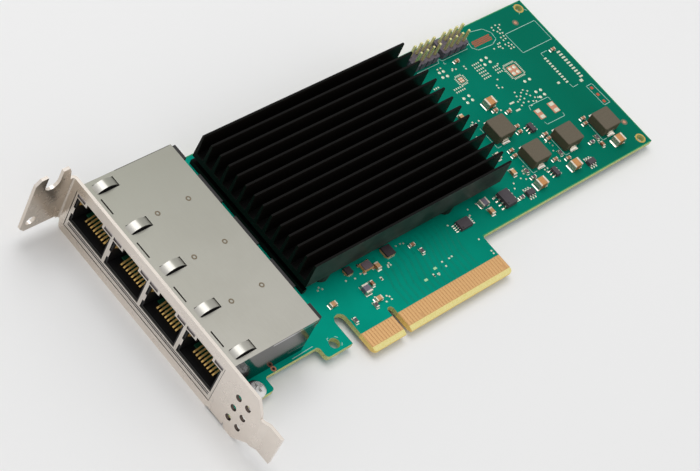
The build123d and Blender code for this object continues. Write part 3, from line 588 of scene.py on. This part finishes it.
# A drop's outline, as shares of its radius and of its height
drop_profile = ((1.0, 0.0), (1.0, 0.15), (0.78, 0.62), (0.42, 0.9))


def dome(mesh, x, y, radius, low, height, sides=12):
    """Low rounded drop, up from a face or, with a negative height, down from it."""
    loops = []
    for share, rise in drop_profile:
        loops.append(corners_at(mesh, circle(x, y, radius * share, sides), low + height * rise))
    tip = mesh.verts.new((x * MM, y * MM, (low + height) * MM))
    mesh.faces.new(loops[0][::-1])
    for lower, upper in zip(loops, loops[1:]):
        walls(mesh, lower, upper)
    for n in range(sides):
        mesh.faces.new((loops[-1][n], loops[-1][(n + 1) % sides], tip))


def strip(mesh, points, width, low, high):
    """Printed line through points, with square ends."""
    for (x0, y0), (x1, y1) in zip(points, points[1:]):
        length = hypot(x1 - x0, y1 - y0)
        ahead_x, ahead_y = (x1 - x0) / length * width / 2, (y1 - y0) / length * width / 2
        x0, y0, x1, y1 = x0 - ahead_x, y0 - ahead_y, x1 + ahead_x, y1 + ahead_y
        outline = (
            (x0 + ahead_y, y0 - ahead_x),
            (x1 + ahead_y, y1 - ahead_x),
            (x1 - ahead_y, y1 + ahead_x),
            (x0 - ahead_y, y0 + ahead_x),
        )
        prism(mesh, outline, low, high)


# A solder slope's outline, as shares of how far it runs out and of how high it climbs
slope_profile = ((-0.03, 0.0), (1.0, 0.0), (0.52, 0.16), (0.22, 0.46), (0.06, 1.0), (-0.03, 1.0))


def fillet(mesh, x, y, out, width, run, rise):
    """Hollow solder slope that climbs an end face, with its foot towards out."""
    sides = []
    for across in (-width / 2, width / 2):
        points = []
        for share, height in slope_profile:
            px = x + out[0] * run * share - out[1] * across
            py = y + out[1] * run * share + out[0] * across
            points.append(mesh.verts.new((px * MM, py * MM, (pad_height + rise * height) * MM)))
        sides.append(points)
    mesh.faces.new(sides[0])
    mesh.faces.new(sides[1][::-1])
    walls(mesh, sides[1], sides[0])


def piece(name, finish, build):
    """A new part of the object, built by a function that fills a mesh."""
    mesh = bmesh.new()
    build(mesh)
    bmesh.ops.recalc_face_normals(mesh, faces=mesh.faces)
    data = bpy.data.meshes.new(name)
    mesh.to_mesh(data)
    mesh.free()
    data.materials.append(finishes[finish])
    made = new_object(name, data)
    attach(made, ROOT)


def solids_of(name):
    """Boxes of a node's separate solids, as (low, high) corners in millimetres."""
    mesh = bmesh.new()
    mesh.from_mesh(nodes[name].data)
    bmesh.ops.remove_doubles(mesh, verts=mesh.verts, dist=weld_distance * MM)
    left = set(mesh.verts)
    found = []
    while left:
        reached = [left.pop()]
        for vert in reached:
            for edge in vert.link_edges:
                other = edge.other_vert(vert)
                if other in left:
                    left.remove(other)
                    reached.append(other)
        places = [vert.co / MM for vert in reached]
        low = Vector([min(place[n] for place in places) for n in range(3)])
        high = Vector([max(place[n] for place in places) for n in range(3)])
        found.append((low, high))
    mesh.free()
    return sorted(found, key=lambda corners: tuple(corners[0]))


def middle(corners):
    """Centre of a box."""
    return (corners[0] + corners[1]) / 2


def nearest(place, boxes):
    """The box whose centre is nearest to a place on the board."""
    return min(boxes, key=lambda corners: (middle(corners).xy - place.xy).length)


def outward(away, along_x):
    """Unit step in the direction of away, along the card or across it."""
    if along_x:
        return Vector((1 if away.x > 0 else -1, 0))
    return Vector((0, 1 if away.y > 0 else -1))


# Solder

def pad(mesh, x, y, length, width):
    """Flat pad on the component side, its length along the card."""
    block(mesh, x, y, length, width, component_foot, pad_height)


def end_pad(mesh, x, y, out, length, width):
    """Flat pad on the component side, its length in the direction of out."""
    if out.x:
        pad(mesh, x, y, length, width)
    else:
        pad(mesh, x, y, width, length)


# Rows of short pads: their distance along a row, and their width
fine_pitch = 0.5
fine_width = 0.27


def pads_round(mesh, x, y, across_x, across_y, count, length):
    """Rows of short pads on the four sides of a rectangle about a centre."""
    for n in range(count):
        shift = (n - (count - 1) / 2) * fine_pitch
        for side in (-0.5, 0.5):
            pad(mesh, x + side * across_x, y + shift, length, fine_width)
            pad(mesh, x + shift, y + side * across_y, fine_width, length)


# Two-ended parts, how far their solder runs out, and its share of the end cap's height
passive_kinds = (
    ("large_capacitor", 0.45, 0.35),
    ("medium_capacitor", 0.36, 0.45),
    ("small_capacitor", 0.3, 0.5),
    ("resistor", 0.3, 0.7),
    ("ferrite_bead", 0.4, 0.4),
)
passive_pad_reach = 0.15
passive_pad_margin = 0.1
passive_slope_share = 0.94


def passive_solder(mesh):
    """Pad under each end cap of the two-ended parts, with a slope of solder up its end face."""
    for kind, run, rise_share in passive_kinds:
        bodies = solids_of(kind + "_bodies")
        for cap in solids_of(kind + "_end_caps"):
            place, size = middle(cap), cap[1] - cap[0]
            away = place - middle(nearest(place, bodies))
            out = outward(away, abs(away.x) > abs(away.y))
            length, width = (size.x, size.y) if out.x else (size.y, size.x)
            x, y = place.xy + out * (run - passive_pad_reach) / 2
            end_pad(mesh, x, y, out, length + run + passive_pad_reach, width + passive_pad_margin)
            x, y = place.xy + out * length / 2
            fillet(mesh, x, y, out, width * passive_slope_share, run, size.z * rise_share)


# Leads, the chips that they belong to, and the pads and solder at their toes
lead_kinds = (
    ("regulator_leads", "regulator_chip"),
    ("monitor_leads", "monitor_chip"),
    ("switch_leads", "switch_chips"),
)
lead_pad_length = 0.9
lead_pad_margin = 0.12
lead_pad_setback = 0.1
lead_run, lead_rise = 0.25, 0.16


def lead_solder(mesh):
    """Pad and small slope of solder at the foot of each chip lead."""
    for leads, chips in lead_kinds:
        chip_boxes = solids_of(chips)
        for lead in solids_of(leads):
            place, size = middle(lead), lead[1] - lead[0]
            out = outward(place - middle(nearest(place, chip_boxes)), size.x > size.y)
            width, length = sorted(size.xy)
            toe = place.xy + out * length / 2
            x, y = toe - out * lead_pad_setback
            end_pad(mesh, x, y, out, lead_pad_length, width + lead_pad_margin)
            fillet(mesh, toe.x, toe.y, out, width, lead_run, lead_rise)


# Pads and solder of the inductors' clips
clip_pad_length = 1.9
clip_pad_margin = 0.3
clip_pad_shift = 0.1
clip_run, clip_rise = 0.5, 0.45


def clip_solder(mesh):
    """Broad pad and slope of solder at the foot of each inductor clip."""
    for clip in solids_of("inductor_clips"):
        place, size = middle(clip), clip[1] - clip[0]
        core = nearest(place, inductor_boxes)
        side, corner = (1, 1) if place.y > middle(core).y else (-1, 0)
        y = core[corner].y + side * clip_pad_shift
        pad(mesh, place.x, y, size.x + clip_pad_margin, clip_pad_length)
        fillet(mesh, place.x, clip[corner].y, (0, side), size.x, clip_run, clip_rise)


# Pads of the parts without leads
flat_chip_pad_length = 0.5
flat_chip_pad_reach = 0.1
larger_chip_length = 2.5
clock_pad_length, clock_pad_width = 1.0, 0.9


def leadless_solder(mesh):
    """Short pads round the flat chips and under the clock's corners."""
    for low, high in solids_of("logic_chips"):
        place, size = middle((low, high)), high - low
        count = 5 if size.x > larger_chip_length else 3
        across_x, across_y = size.x + 2 * flat_chip_pad_reach, size.y + 2 * flat_chip_pad_reach
        pads_round(mesh, place.x, place.y, across_x, across_y, count, flat_chip_pad_length)
    for low, high in solids_of("clock_base"):
        for x in (low.x, high.x):
            for y in (low.y, high.y):
                pad(mesh, x, y, clock_pad_length, clock_pad_width)


# Print and bare pads on the component side, measured on the board in millimetres

print_width = 0.15
outline_runs = (
    ((96.9, 61.1), (109.7, 61.1), (109.8, 53.6), (97.2, 53.6), (96.9, 61.1)),
    ((84.8, 65.8), (87.0, 66.5), (91.6, 65.7), (93.3, 63.5), (93.0, 61.1), (90.5, 60.0), (84.7, 60.4),
     (83.4, 61.8), (83.8, 64.1), (84.8, 65.8)),
    ((61.2, 61.95), (69.9, 61.95), (70.3, 62.9), (71.1, 62.9), (71.4, 62.15), (81.9, 62.15)),
    ((104.8, 51.0), (102.2, 51.0), (102.3, 49.9)),
    ((102.4, 38.7), (102.5, 37.4), (104.7, 37.5)),
    ((106.7, 35.8), (109.1, 35.8), (109.4, 28.3), (106.9, 28.3), (106.7, 35.8)),
    ((83.9, 37.2), (84.3, 38.5), (92.4, 38.3), (92.4, 37.2)),
    ((84.7, 32.1), (84.9, 31.2), (92.3, 31.1), (92.5, 32.1)),
    ((-32.8, 8.9), (-25.9, 9.1)),
    ((107.0, 67.9), (107.4, 67.5)),
    ((107.0, 64.9), (107.4, 65.5)),
    ((110.3, 65.0), (109.8, 65.6)),
    ((107.0, 15.7), (107.4, 15.3)),
    ((-21.2, 8.4), (-21.2, 9.0), (-20.7, 9.0)),
    ((-18.8, 8.5), (-18.3, 8.0)),
    ((-18.8, 5.7), (-18.3, 6.2)),
    ((71.5, 61.6), (71.1, 61.1), (71.8, 60.9)),
)

# Painted highlight as a paler green strip along the upper, rear and lower edges
rim_width = 0.22
rim_height = 0.01
rim_runs = (
    ((-28.0, 68.74), (110.1, 68.74)),
    ((110.85, 68.4), (110.85, 12.7)),
    ((110.5, 12.34), (39.4, 12.34)),
)

# Outlines of the power inductors run this far outside each core, and turn in under it
inductor_outline_gap = 0.45
inductor_outline_drop = 1.0
inductor_outline_return = 1.6

round_pad_radius, round_pad_height = 0.5, 0.115
round_pads = (
    (82.9, 57.2), (85.0, 57.2), (82.8, 55.5), (85.1, 55.6),
    (69.1, 59.2), (67.6, 59.3), (67.4, 57.6), (69.1, 57.4),
    (67.9, 49.2), (70.0, 49.3), (67.9, 47.6), (70.0, 47.7),
    (89.9, 45.6), (91.9, 45.6), (90.3, 41.3), (92.2, 41.2), (90.3, 39.3), (92.2, 39.5),
)

small_pad_length, small_pad_width = 0.52, 0.46
small_pads = (
    (80.5, 47.4), (76.2, 57.8), (76.2, 56.9), (86.7, 54.0), (82.4, 49.8), (72.2, 58.6), (75.4, 60.3),
    (82.4, 41.1), (82.5, 39.6), (85.1, 41.1), (85.5, 39.7), (87.6, 41.1), (88.5, 40.0), (86.9, 42.0),
    (83.9, 44.0), (87.0, 39.2), (94.8, 64.8), (94.6, 63.8), (96.5, 65.0), (97.9, 64.6), (96.7, 63.9),
    (96.7, 63.1), (95.4, 62.9), (96.6, 61.9), (95.7, 62.1), (94.8, 60.8), (94.8, 59.7), (96.1, 60.9),
    (95.9, 59.9), (92.1, 59.4), (92.9, 59.5), (94.2, 58.3), (95.6, 58.3), (94.8, 57.4), (96.0, 57.4),
    (94.8, 56.4), (96.0, 56.4), (89.7, 58.6), (91.5, 58.5), (92.2, 58.4), (92.4, 57.6), (75.3, 41.2),
    (78.2, 40.4), (73.5, 41.2), (64.1, 41.8), (66.3, 41.4), (63.2, 41.2), (64.1, 40.4), (63.2, 37.0),
    (61.6, 37.4), (81.2, 29.4), (79.6, 28.9), (82.2, 27.6), (79.7, 26.8), (80.8, 25.0), (79.6, 23.6),
    (67.1, 23.8), (67.5, 22.2), (65.6, 22.7), (65.4, 21.9), (63.4, 21.1), (64.7, 20.2), (77.3, 20.8),
    (78.8, 20.1), (72.3, 20.0), (73.4, 20.0), (72.5, 19.1), (86.8, 17.1), (60.2, 20.8), (59.2, 19.4),
    (22.9, 11.6), (23.0, 10.1), (25.5, 11.5), (26.6, 11.6), (37.5, 12.0), (4.1, 15.5), (8.6, 17.9),
    (9.3, 18.3), (9.4, 17.6), (8.4, 17.4), (1.8, 11.0), (2.4, 10.5), (2.4, 9.6), (0.6, 9.7),
    (-12.8, 21.5), (-2.9, 9.4), (-1.3, 12.2), (-0.3, 11.5), (19.4, 9.0), (17.9, 9.3), (67.8, 60.4),
    (69.0, 60.4), (74.8, 60.5), (76.0, 60.1), (71.8, 58.2), (73.2, 58.1), (83.0, 64.3), (83.0, 63.4),
    (83.4, 42.7), (83.5, 41.4), (83.8, 40.1), (85.7, 43.1), (88.0, 42.7), (86.9, 43.6), (84.6, 42.2),
    (89.4, 39.6), (85.4, 38.3), (87.9, 38.8), (81.7, 47.0), (80.6, 48.3), (86.9, 51.0), (78.6, 20.3),
    (81.3, 22.3), (80.6, 26.1), (96.0, 18.7), (93.4, 20.2), (45.0, 20.9), (41.5, 20.6), (40.7, 18.9),
    (32.6, 19.4), (38.1, 7.6), (38.1, 6.7), (14.8, 21.3), (16.3, 21.3), (17.2, 21.0), (-3.9, 21.2),
    (-4.9, 19.6), (-2.2, 19.0), (-13.6, 20.9), (-12.2, 20.7), (0.1, 19.4), (-3.0, 14.8), (-2.9, 14.0),
)

# Bare pads of a size of their own: place, length along the card and width across it
long_pads = (
    (80.3, 41.6, 1.8, 0.55), (80.3, 38.9, 1.7, 0.55), (107.0, 50.6, 1.2, 0.9), (106.9, 38.1, 1.2, 0.9),
    (99.4, 40.6, 1.0, 0.7), (4.2, 15.6, 0.7, 1.1), (17.9, 9.6, 0.5, 0.9), (19.4, 9.3, 0.9, 0.45),
)

pale_pads = ((19.7, 11.0, 1.1, 0.65), (14.9, 9.5, 1.1, 0.65))

test_spots = ((107.9, 34.6), (107.9, 32.0), (107.9, 29.4))
test_spot_size = 0.95

fiducials = ((103.3, 63.0), (108.0, 21.0))
fiducial_radius = 0.5
halo_outer, halo_inner = 1.0, 0.48

rear_holes = ((108.3, 66.6), (108.3, 14.5))
rear_ring_outer, rear_ring_inner = 1.6, 1.12

# The open via beside the port block
via_x, via_y = -38.9, 9.1
via_ring_outer, via_ring_inner = 0.75, 0.38
# A dark disc of painted shade fills the middle of the via
via_middle_radius, via_middle_height = 0.4, 0.01

# Bare places for parts that aren't fitted. Heavy pads: place, length and width, with bars of tin
heavy_pads = ((85.5, 34.9, 2.2, 3.4), (91.3, 34.85, 2.4, 3.7))
tin_shift = 0.12
tin_height = 0.04
tin_length_share = 0.7
tin_width_share = 0.3

# Flat chips: place, side of the outline, side of the core and pads in a row. A drop lies in each
# quarter of the core
flat_chip_places = ((89.7, 50.1, 5.0, 3.4, 9), (71.9, 54.5, 3.0, 1.7, 5))
bare_row_length = 0.6
core_drop_share, core_drop_height = 0.17, 0.08

# Connector rows: place along the card, first and last pad across it, and the pads' length
connector_rows = ((102.2, 39.7, 49.0, 1.0), (108.0, 39.3, 49.0, 1.4))
connector_pads = 10
connector_pad_width = 0.55

# Grids of pads: first place, columns along the card and rows across it
pad_grids = ((78.9, 56.9, 4, 6), (84.4, 53.6, 3, 3), (67.4, 52.7, 5, 2), (61.9, 55.5, 3, 2))
column_pitch, row_pitch = 0.8, 1.04
grid_pad_length, grid_pad_width = 0.42, 0.5

# Field of varnished dots: first place, columns and rows
field_x, field_y = 84.7, 61.7
field_columns, field_rows = 14, 4
field_pitch = 0.53
dot_radius = 0.23
dot_sides = 8


def outlines(mesh):
    """White outlines and corner marks."""
    runs = list(outline_runs)
    for low, high in inductor_boxes:
        left, lower = low.x - inductor_outline_gap, low.y - inductor_outline_drop
        runs.append(((left, high.y), (left, lower), (left + inductor_outline_return, lower)))
    for run in runs:
        strip(mesh, run, print_width, component_foot, print_height)


def bare_pads(mesh):
    """Tinned pads with no part on them."""
    for x, y in round_pads:
        dome(mesh, x, y, round_pad_radius, component_foot, round_pad_height)
    for x, y in small_pads:
        pad(mesh, x, y, small_pad_length, small_pad_width)
    for x, y, length, width in long_pads:
        pad(mesh, x, y, length, width)
    for x, first, last, length in connector_rows:
        for n in range(connector_pads):
            y = first + (last - first) * n / (connector_pads - 1)
            pad(mesh, x, y, length, connector_pad_width)
    for x, y, columns, rows in pad_grids:
        for column in range(columns):
            for row in range(rows):
                place = x + column * column_pitch, y - row * row_pitch
                pad(mesh, *place, grid_pad_length, grid_pad_width)
    for x, y, length, width in heavy_pads:
        for side in (-1, 1):
            place = x + tin_shift, y + side * width * tin_width_share
            size = length * tin_length_share, width * tin_width_share
            block(mesh, *place, *size, pad_height, pad_height + tin_height)


def chip_rims(mesh):
    """Rows of short pads round the two bare places for flat chips, and drops on their cores."""
    for x, y, side, core, count in flat_chip_places:
        pads_round(mesh, x, y, side, side, count, bare_row_length)
        for shift_x in (-core / 4, core / 4):
            for shift_y in (-core / 4, core / 4):
                place = x + shift_x, y + shift_y
                dome(mesh, *place, core * core_drop_share, pad_height, core_drop_height)


def copper_places(mesh):
    """Bare copper: fiducials, the ring of one via, chip cores and heavy pads."""
    for x, y in fiducials:
        prism(mesh, circle(x, y, fiducial_radius), component_foot, copper_height)
    ring(mesh, via_x, via_y, via_ring_outer, via_ring_inner, component_foot, copper_height)
    for x, y, _, core, _ in flat_chip_places:
        block(mesh, x, y, core, core, component_foot, copper_height)
    for x, y, length, width in heavy_pads:
        block(mesh, x, y, length, width, component_foot, copper_height)


def red_places(mesh):
    """Red varnish: three square test spots and the field of dots, each second row shifted."""
    for x, y in test_spots:
        block(mesh, x, y, test_spot_size, test_spot_size, component_foot, varnish_height)
    for column in range(field_columns):
        for row in range(field_rows):
            x = field_x + (column + row % 2 / 2) * field_pitch
            y = field_y + row * field_pitch
            prism(mesh, circle(x, y, dot_radius, dot_sides), component_foot, varnish_height)


def halos(mesh):
    """Bare laminate round the fiducials."""
    for x, y in fiducials:
        ring(mesh, x, y, halo_outer, halo_inner, component_foot, print_height)


def gold_rings(mesh):
    """Plated rims of the mounting holes on both faces."""
    for x, y in rear_holes:
        for low, high in ((component_foot, pad_height), (solder_face - pad_height, solder_foot)):
            ring(mesh, x, y, rear_ring_outer, rear_ring_inner, low, high)


def board_edge_highlight(mesh):
    """Painted highlight as a paler green strip along the cut edges of the board."""
    for run in rim_runs:
        strip(mesh, run, rim_width, component_foot, rim_height)


def pale_places(mesh):
    """Pads with a pale green coat."""
    for x, y, length, width in pale_pads:
        pad(mesh, x, y, length, width)


# The port shield's top without its springs, and its lip below the openings. The lip's grooves are dark
# strips of painted shade, given by height and width, and end short of its sides
shield_top = 13.3
shield_dimples = [(x, y) for x in (-45.25, -35.5) for y in (52.4, 38.3, 24.2)]
dimple_outer, dimple_inner, dimple_height = 0.72, 0.36, 0.03
lip_face_x = -58.4
lip_groove_shade = ((0.7, 0.34), (1.34, 0.26))
groove_end_gap = 1.6

# Painted shade on the fold at the far edge of the shield's top: where it runs, and how far inside the
# edge
top_fold_x = (-47.0, -29.6)
top_fold_inset = (0.16, 0.04)
top_fold_height = 0.015


def dimples(mesh):
    """Pressed rings on the top of the shield."""
    for x, y in shield_dimples:
        low, high = shield_top - sunk, shield_top + dimple_height
        ring(mesh, x, y, dimple_outer, dimple_inner, low, high)


def seams(mesh):
    """Dark marks of painted shade: the lip's grooves, the fold on the shield's top and the middle of
    one via.
    """
    low, high = box_of("jack_shield")
    for height, width in lip_groove_shade:
        start = lip_face_x - sunk, low.y + groove_end_gap, height
        end = lip_face_x + sunk, high.y - groove_end_gap, height + width
        bar(mesh, start, end)
    start = top_fold_x[0], high.y - top_fold_inset[0], shield_top - sunk
    end = top_fold_x[1], high.y - top_fold_inset[1], shield_top + top_fold_height
    bar(mesh, start, end)
    prism(mesh, circle(via_x, via_y, via_middle_radius), component_foot, via_middle_height)


# A dot by the first lead: its place as a share of the chip's sides
pin_dot_share = 0.16
pin_dot_radius, pin_dot_height = 0.3, 0.01


def pin_dots(mesh):
    """Small moulded dots by the first lead of each larger leaded chip."""
    for chips in ("regulator_chip", "monitor_chip"):
        for low, high in solids_of(chips):
            place = low + (high - low) * pin_dot_share
            outline = circle(place.x, place.y, pin_dot_radius)
            prism(mesh, outline, high.z - sunk, high.z + pin_dot_height)


# Lip under the heat sink's front edge, partly a lower front of the sink and partly painted shade on
# the board beneath: how far inside the plate it starts, where it ends behind, and its lower face
lip_inset = 0.1
lip_rear = 1.3
lip_bottom = 1.5


def sink_lip_and_shade(mesh):
    """Low lip under the front edge of the heat sink's plate, partly a lower sink edge, partly painted
    shade.
    """
    low, high = box_of("heat_sink")
    start = low.x + lip_inset, low.y + lip_inset, lip_bottom
    end = low.x + lip_rear, high.y - lip_inset, low.z + sunk
    bar(mesh, start, end)


# Solder side

# Pins of a port, from the middle of the port: eight signal pins in two rows, and a shield tail
# and a peg on each side
port_middles = [middle(box_of("port_" + str(n) + "_contact_board")).y for n in port_numbers]
port_pin_x = -42.0
port_pin_pitch = 1.27
port_row_gap = 2.54
tail_x, tail_y = port_pin_x + 6.0, 4.6
peg_x, peg_y = port_pin_x - 6.2, 5.7

# Radius and height of each kind of joint. A joint on the solder side has a negative height
header_joint = (0.85, -0.6)
header_collar = (0.8, 0.1)
port_joint = (0.65, -0.7)
peg_joint = (1.1, -0.5)


def joint(mesh, x, y, kind, foot=solder_foot):
    """Cone of solder round a pin."""
    radius, height = kind
    dome(mesh, x, y, radius, foot, height)


def tail_joints(mesh):
    """Cones of solder round the header pins and the port pins that come through the board."""
    for name in ("pin_header_a_pins", "pin_header_b_pins"):
        for pin in solids_of(name):
            place = middle(pin)
            joint(mesh, place.x, place.y, header_joint)
            joint(mesh, place.x, place.y, header_collar, component_foot)
    for y in port_middles:
        for n in range(8):
            pin_y = y + (n - 3.5) * port_pin_pitch
            joint(mesh, port_pin_x + n % 2 * port_row_gap, pin_y, port_joint)
        for side in (-1, 1):
            joint(mesh, tail_x, y + side * tail_y, port_joint)
            joint(mesh, peg_x, y + side * peg_y, peg_joint)


# Scattered spots: their columns and rows, the first place, the pitches, how far they stray, and
# how fast that turns from column to column and from row to row
spot_columns, spot_rows = 12, 5
spot_x, spot_y = -8, 19
spot_pitch_x, spot_pitch_y = 9.3, 10.4
spot_stray_x, spot_stray_y = 2.6, 2.4
spot_turn_x, spot_turn_y = Vector((2.1, 1.7)), Vector((1.3, 2.9))
spot_radius = 0.45
spot_sides = 12


def via_spots(mesh):
    """Scattered tented holes on the solder side."""
    for column in range(spot_columns):
        for row in range(spot_rows):
            spot = Vector((column, row))
            x = spot_x + column * spot_pitch_x + spot_stray_x * sin(spot.dot(spot_turn_x))
            y = spot_y + row * spot_pitch_y + spot_stray_y * cos(spot.dot(spot_turn_y))
            outline = circle(x, y, spot_radius, spot_sides)
            prism(mesh, outline, solder_face - pad_height, solder_foot)


# Pairs of fine tracks: the first place, the pitch of the pairs, and the gap in each. A pair
# leans over between two heights. The lower one rises to both sides of one pair, and the upper
# one from the first pair to the last
track_pairs = 14
track_x, track_pitch, track_gap = 5.2, 2.0, 0.45
track_start_y, track_end_y = 6.2, 21.5
lowest_pair, bend_y, bend_step = 6, 9.0, 0.5
turn_y, turn_step = 15.6, 0.35
track_lean = 0.3
track_width = 0.14
track_height = 0.008


def edge_traces(mesh):
    """Fine tracks that fan out from the edge contacts to the controller, on both faces."""
    for n in range(track_pairs):
        low = bend_y + bend_step * abs(n - lowest_pair)
        high = turn_y + turn_step * n
        for gap in (0, track_gap):
            x = track_x + n * track_pitch + gap
            end_x = x + (high - low) * track_lean
            run = ((x, track_start_y), (x, low + gap), (end_x, high), (end_x, track_end_y))
            strip(mesh, run, track_width, component_foot, track_height)
            strip(mesh, run, track_width, solder_face - track_height, solder_foot)


# Camera and light. The camera's place is in millimetres, and the lamp's and the floor's in metres

eye = (-324.108, -119.593, 397.794)
camera_right = (0.696816, -0.631058, 0.340899)
camera_down = (-0.372105, -0.724385, -0.580349)
camera_forward = (0.613176, 0.277546, -0.739583)
focal_length = 109.86
sensor_width = 36.0
nearest_shown = 0.01

lamp_place = Vector((0.05, 0.45, 1.1))
lamp_aim = Vector((0.02, 0.03, 0.0))
lamp_size = 0.8
lamp_power = 5.0

world_white = (1.0, 1.0, 1.0, 1.0)
front_strength, rear_strength = 0.42, 0.85

floor_reach = 3.0
floor_color = (0.9, 0.9, 0.9, 1.0)
floor_roughness = 0.9


def make_camera():
    """Camera at the photograph's angle, from its place and its three axes."""
    data = bpy.data.cameras.new("camera")
    data.lens = focal_length
    data.sensor_width = sensor_width
    data.clip_start = nearest_shown
    made = new_object("camera", data)
    columns = (Vector(camera_right), -Vector(camera_down), -Vector(camera_forward))
    turn = Matrix(columns).transposed().to_4x4()
    made.matrix_world = Matrix.Translation(Vector(eye) * MM) @ turn
    bpy.context.scene.camera = made


def make_lamp():
    """Square studio lamp that faces the card."""
    data = bpy.data.lights.new("top_light", "AREA")
    data.shape = "SQUARE"
    data.size = lamp_size
    data.energy = lamp_power
    made = new_object("top_light", data)
    made.location = lamp_place
    made.rotation_euler = (lamp_aim - lamp_place).to_track_quat("-Z", "Y").to_euler()


def make_world():
    """Soft light, weaker from the front, and plain white for the camera and clear reflections."""
    world = bpy.data.worlds.new("world")
    bpy.context.scene.world = world
    world.use_nodes = True
    tree = world.node_tree
    light = tree.nodes["Background"]
    light.inputs["Color"].default_value = world_white
    strength = span(tree, axes(tree, "Generated")[0], front_strength, rear_strength, -1.0, 1.0)
    tree.links.new(strength, light.inputs["Strength"])
    white = add(tree, "Background")
    white.inputs["Color"].default_value = world_white
    white.inputs["Strength"].default_value = 1.0
    path = add(tree, "LightPath")
    seen = calc(tree, "MAXIMUM", path.outputs["Is Camera Ray"], path.outputs["Is Glossy Ray"])
    seen = calc(tree, "MAXIMUM", seen, path.outputs["Is Transmission Ray"])
    chosen = add(tree, "MixShader")
    tree.links.new(seen, chosen.inputs[0])
    tree.links.new(light.outputs[0], chosen.inputs[1])
    tree.links.new(white.outputs[0], chosen.inputs[2])
    tree.links.new(chosen.outputs[0], tree.nodes["World Output"].inputs["Surface"])


def make_floor():
    """Plain pale floor just under the lowest point."""
    made, _, shader = new_material("floor")
    shader.inputs["Base Color"].default_value = floor_color
    shader.inputs["Roughness"].default_value = floor_roughness
    data = bpy.data.meshes.new("floor")
    height = cad_box[0].z
    corners = [(-1, -1), (1, -1), (1, 1), (-1, 1)]
    corners = [(x * floor_reach, y * floor_reach, height) for x, y in corners]
    data.from_pydata(corners, [], [(0, 1, 2, 3)])
    data.materials.append(made)
    new_object("floor", data)


# Every new piece: name, finish, slot and the function that builds it
pieces = (
    ("passive_solder", "solder_tin", "solder_tin", passive_solder),
    ("lead_solder", "solder_tin", "solder_tin", lead_solder),
    ("clip_solder", "solder_tin", "solder_tin", clip_solder),
    ("leadless_solder", "solder_tin", "solder_tin", leadless_solder),
    ("printed_outlines", "print", "board_laminate", outlines),
    ("bare_pads", "tinned_pad", "solder_tin", bare_pads),
    ("chip_rims", "tinned_pad", "solder_tin", chip_rims),
    ("board_edge_highlight", "rim", "board_laminate", board_edge_highlight),
    ("copper_places", "bare_copper", "gold_plating", copper_places),
    ("red_places", "red_mask", "board_laminate", red_places),
    ("fiducial_halos", "halo", "board_laminate", halos),
    ("gold_rings", "dull_gold", "gold_plating", gold_rings),
    ("pale_pads", "pale_pad", "gold_plating", pale_places),
    ("shield_dimples", "dimple", "shield_nickel", dimples),
    ("shield_seams", "painted_shade_and_dots", "shield_nickel", seams),
    ("pin_dots", "painted_shade_and_dots", "chip_mould", pin_dots),
    ("sink_lip_and_shade", "sink_black", "sink_black", sink_lip_and_shade),
    ("tail_joints", "solder_tin", "solder_tin", tail_joints),
    ("via_spots", "trace", "board_laminate", via_spots),
    ("edge_traces", "trace", "board_laminate", edge_traces),
)

dress_nodes()
for name, finish, slot, build in pieces:
    piece(name, finish, build)

make_camera()
make_lamp()
make_world()
make_floor()
bpy.context.scene.view_settings.view_transform = "Standard"
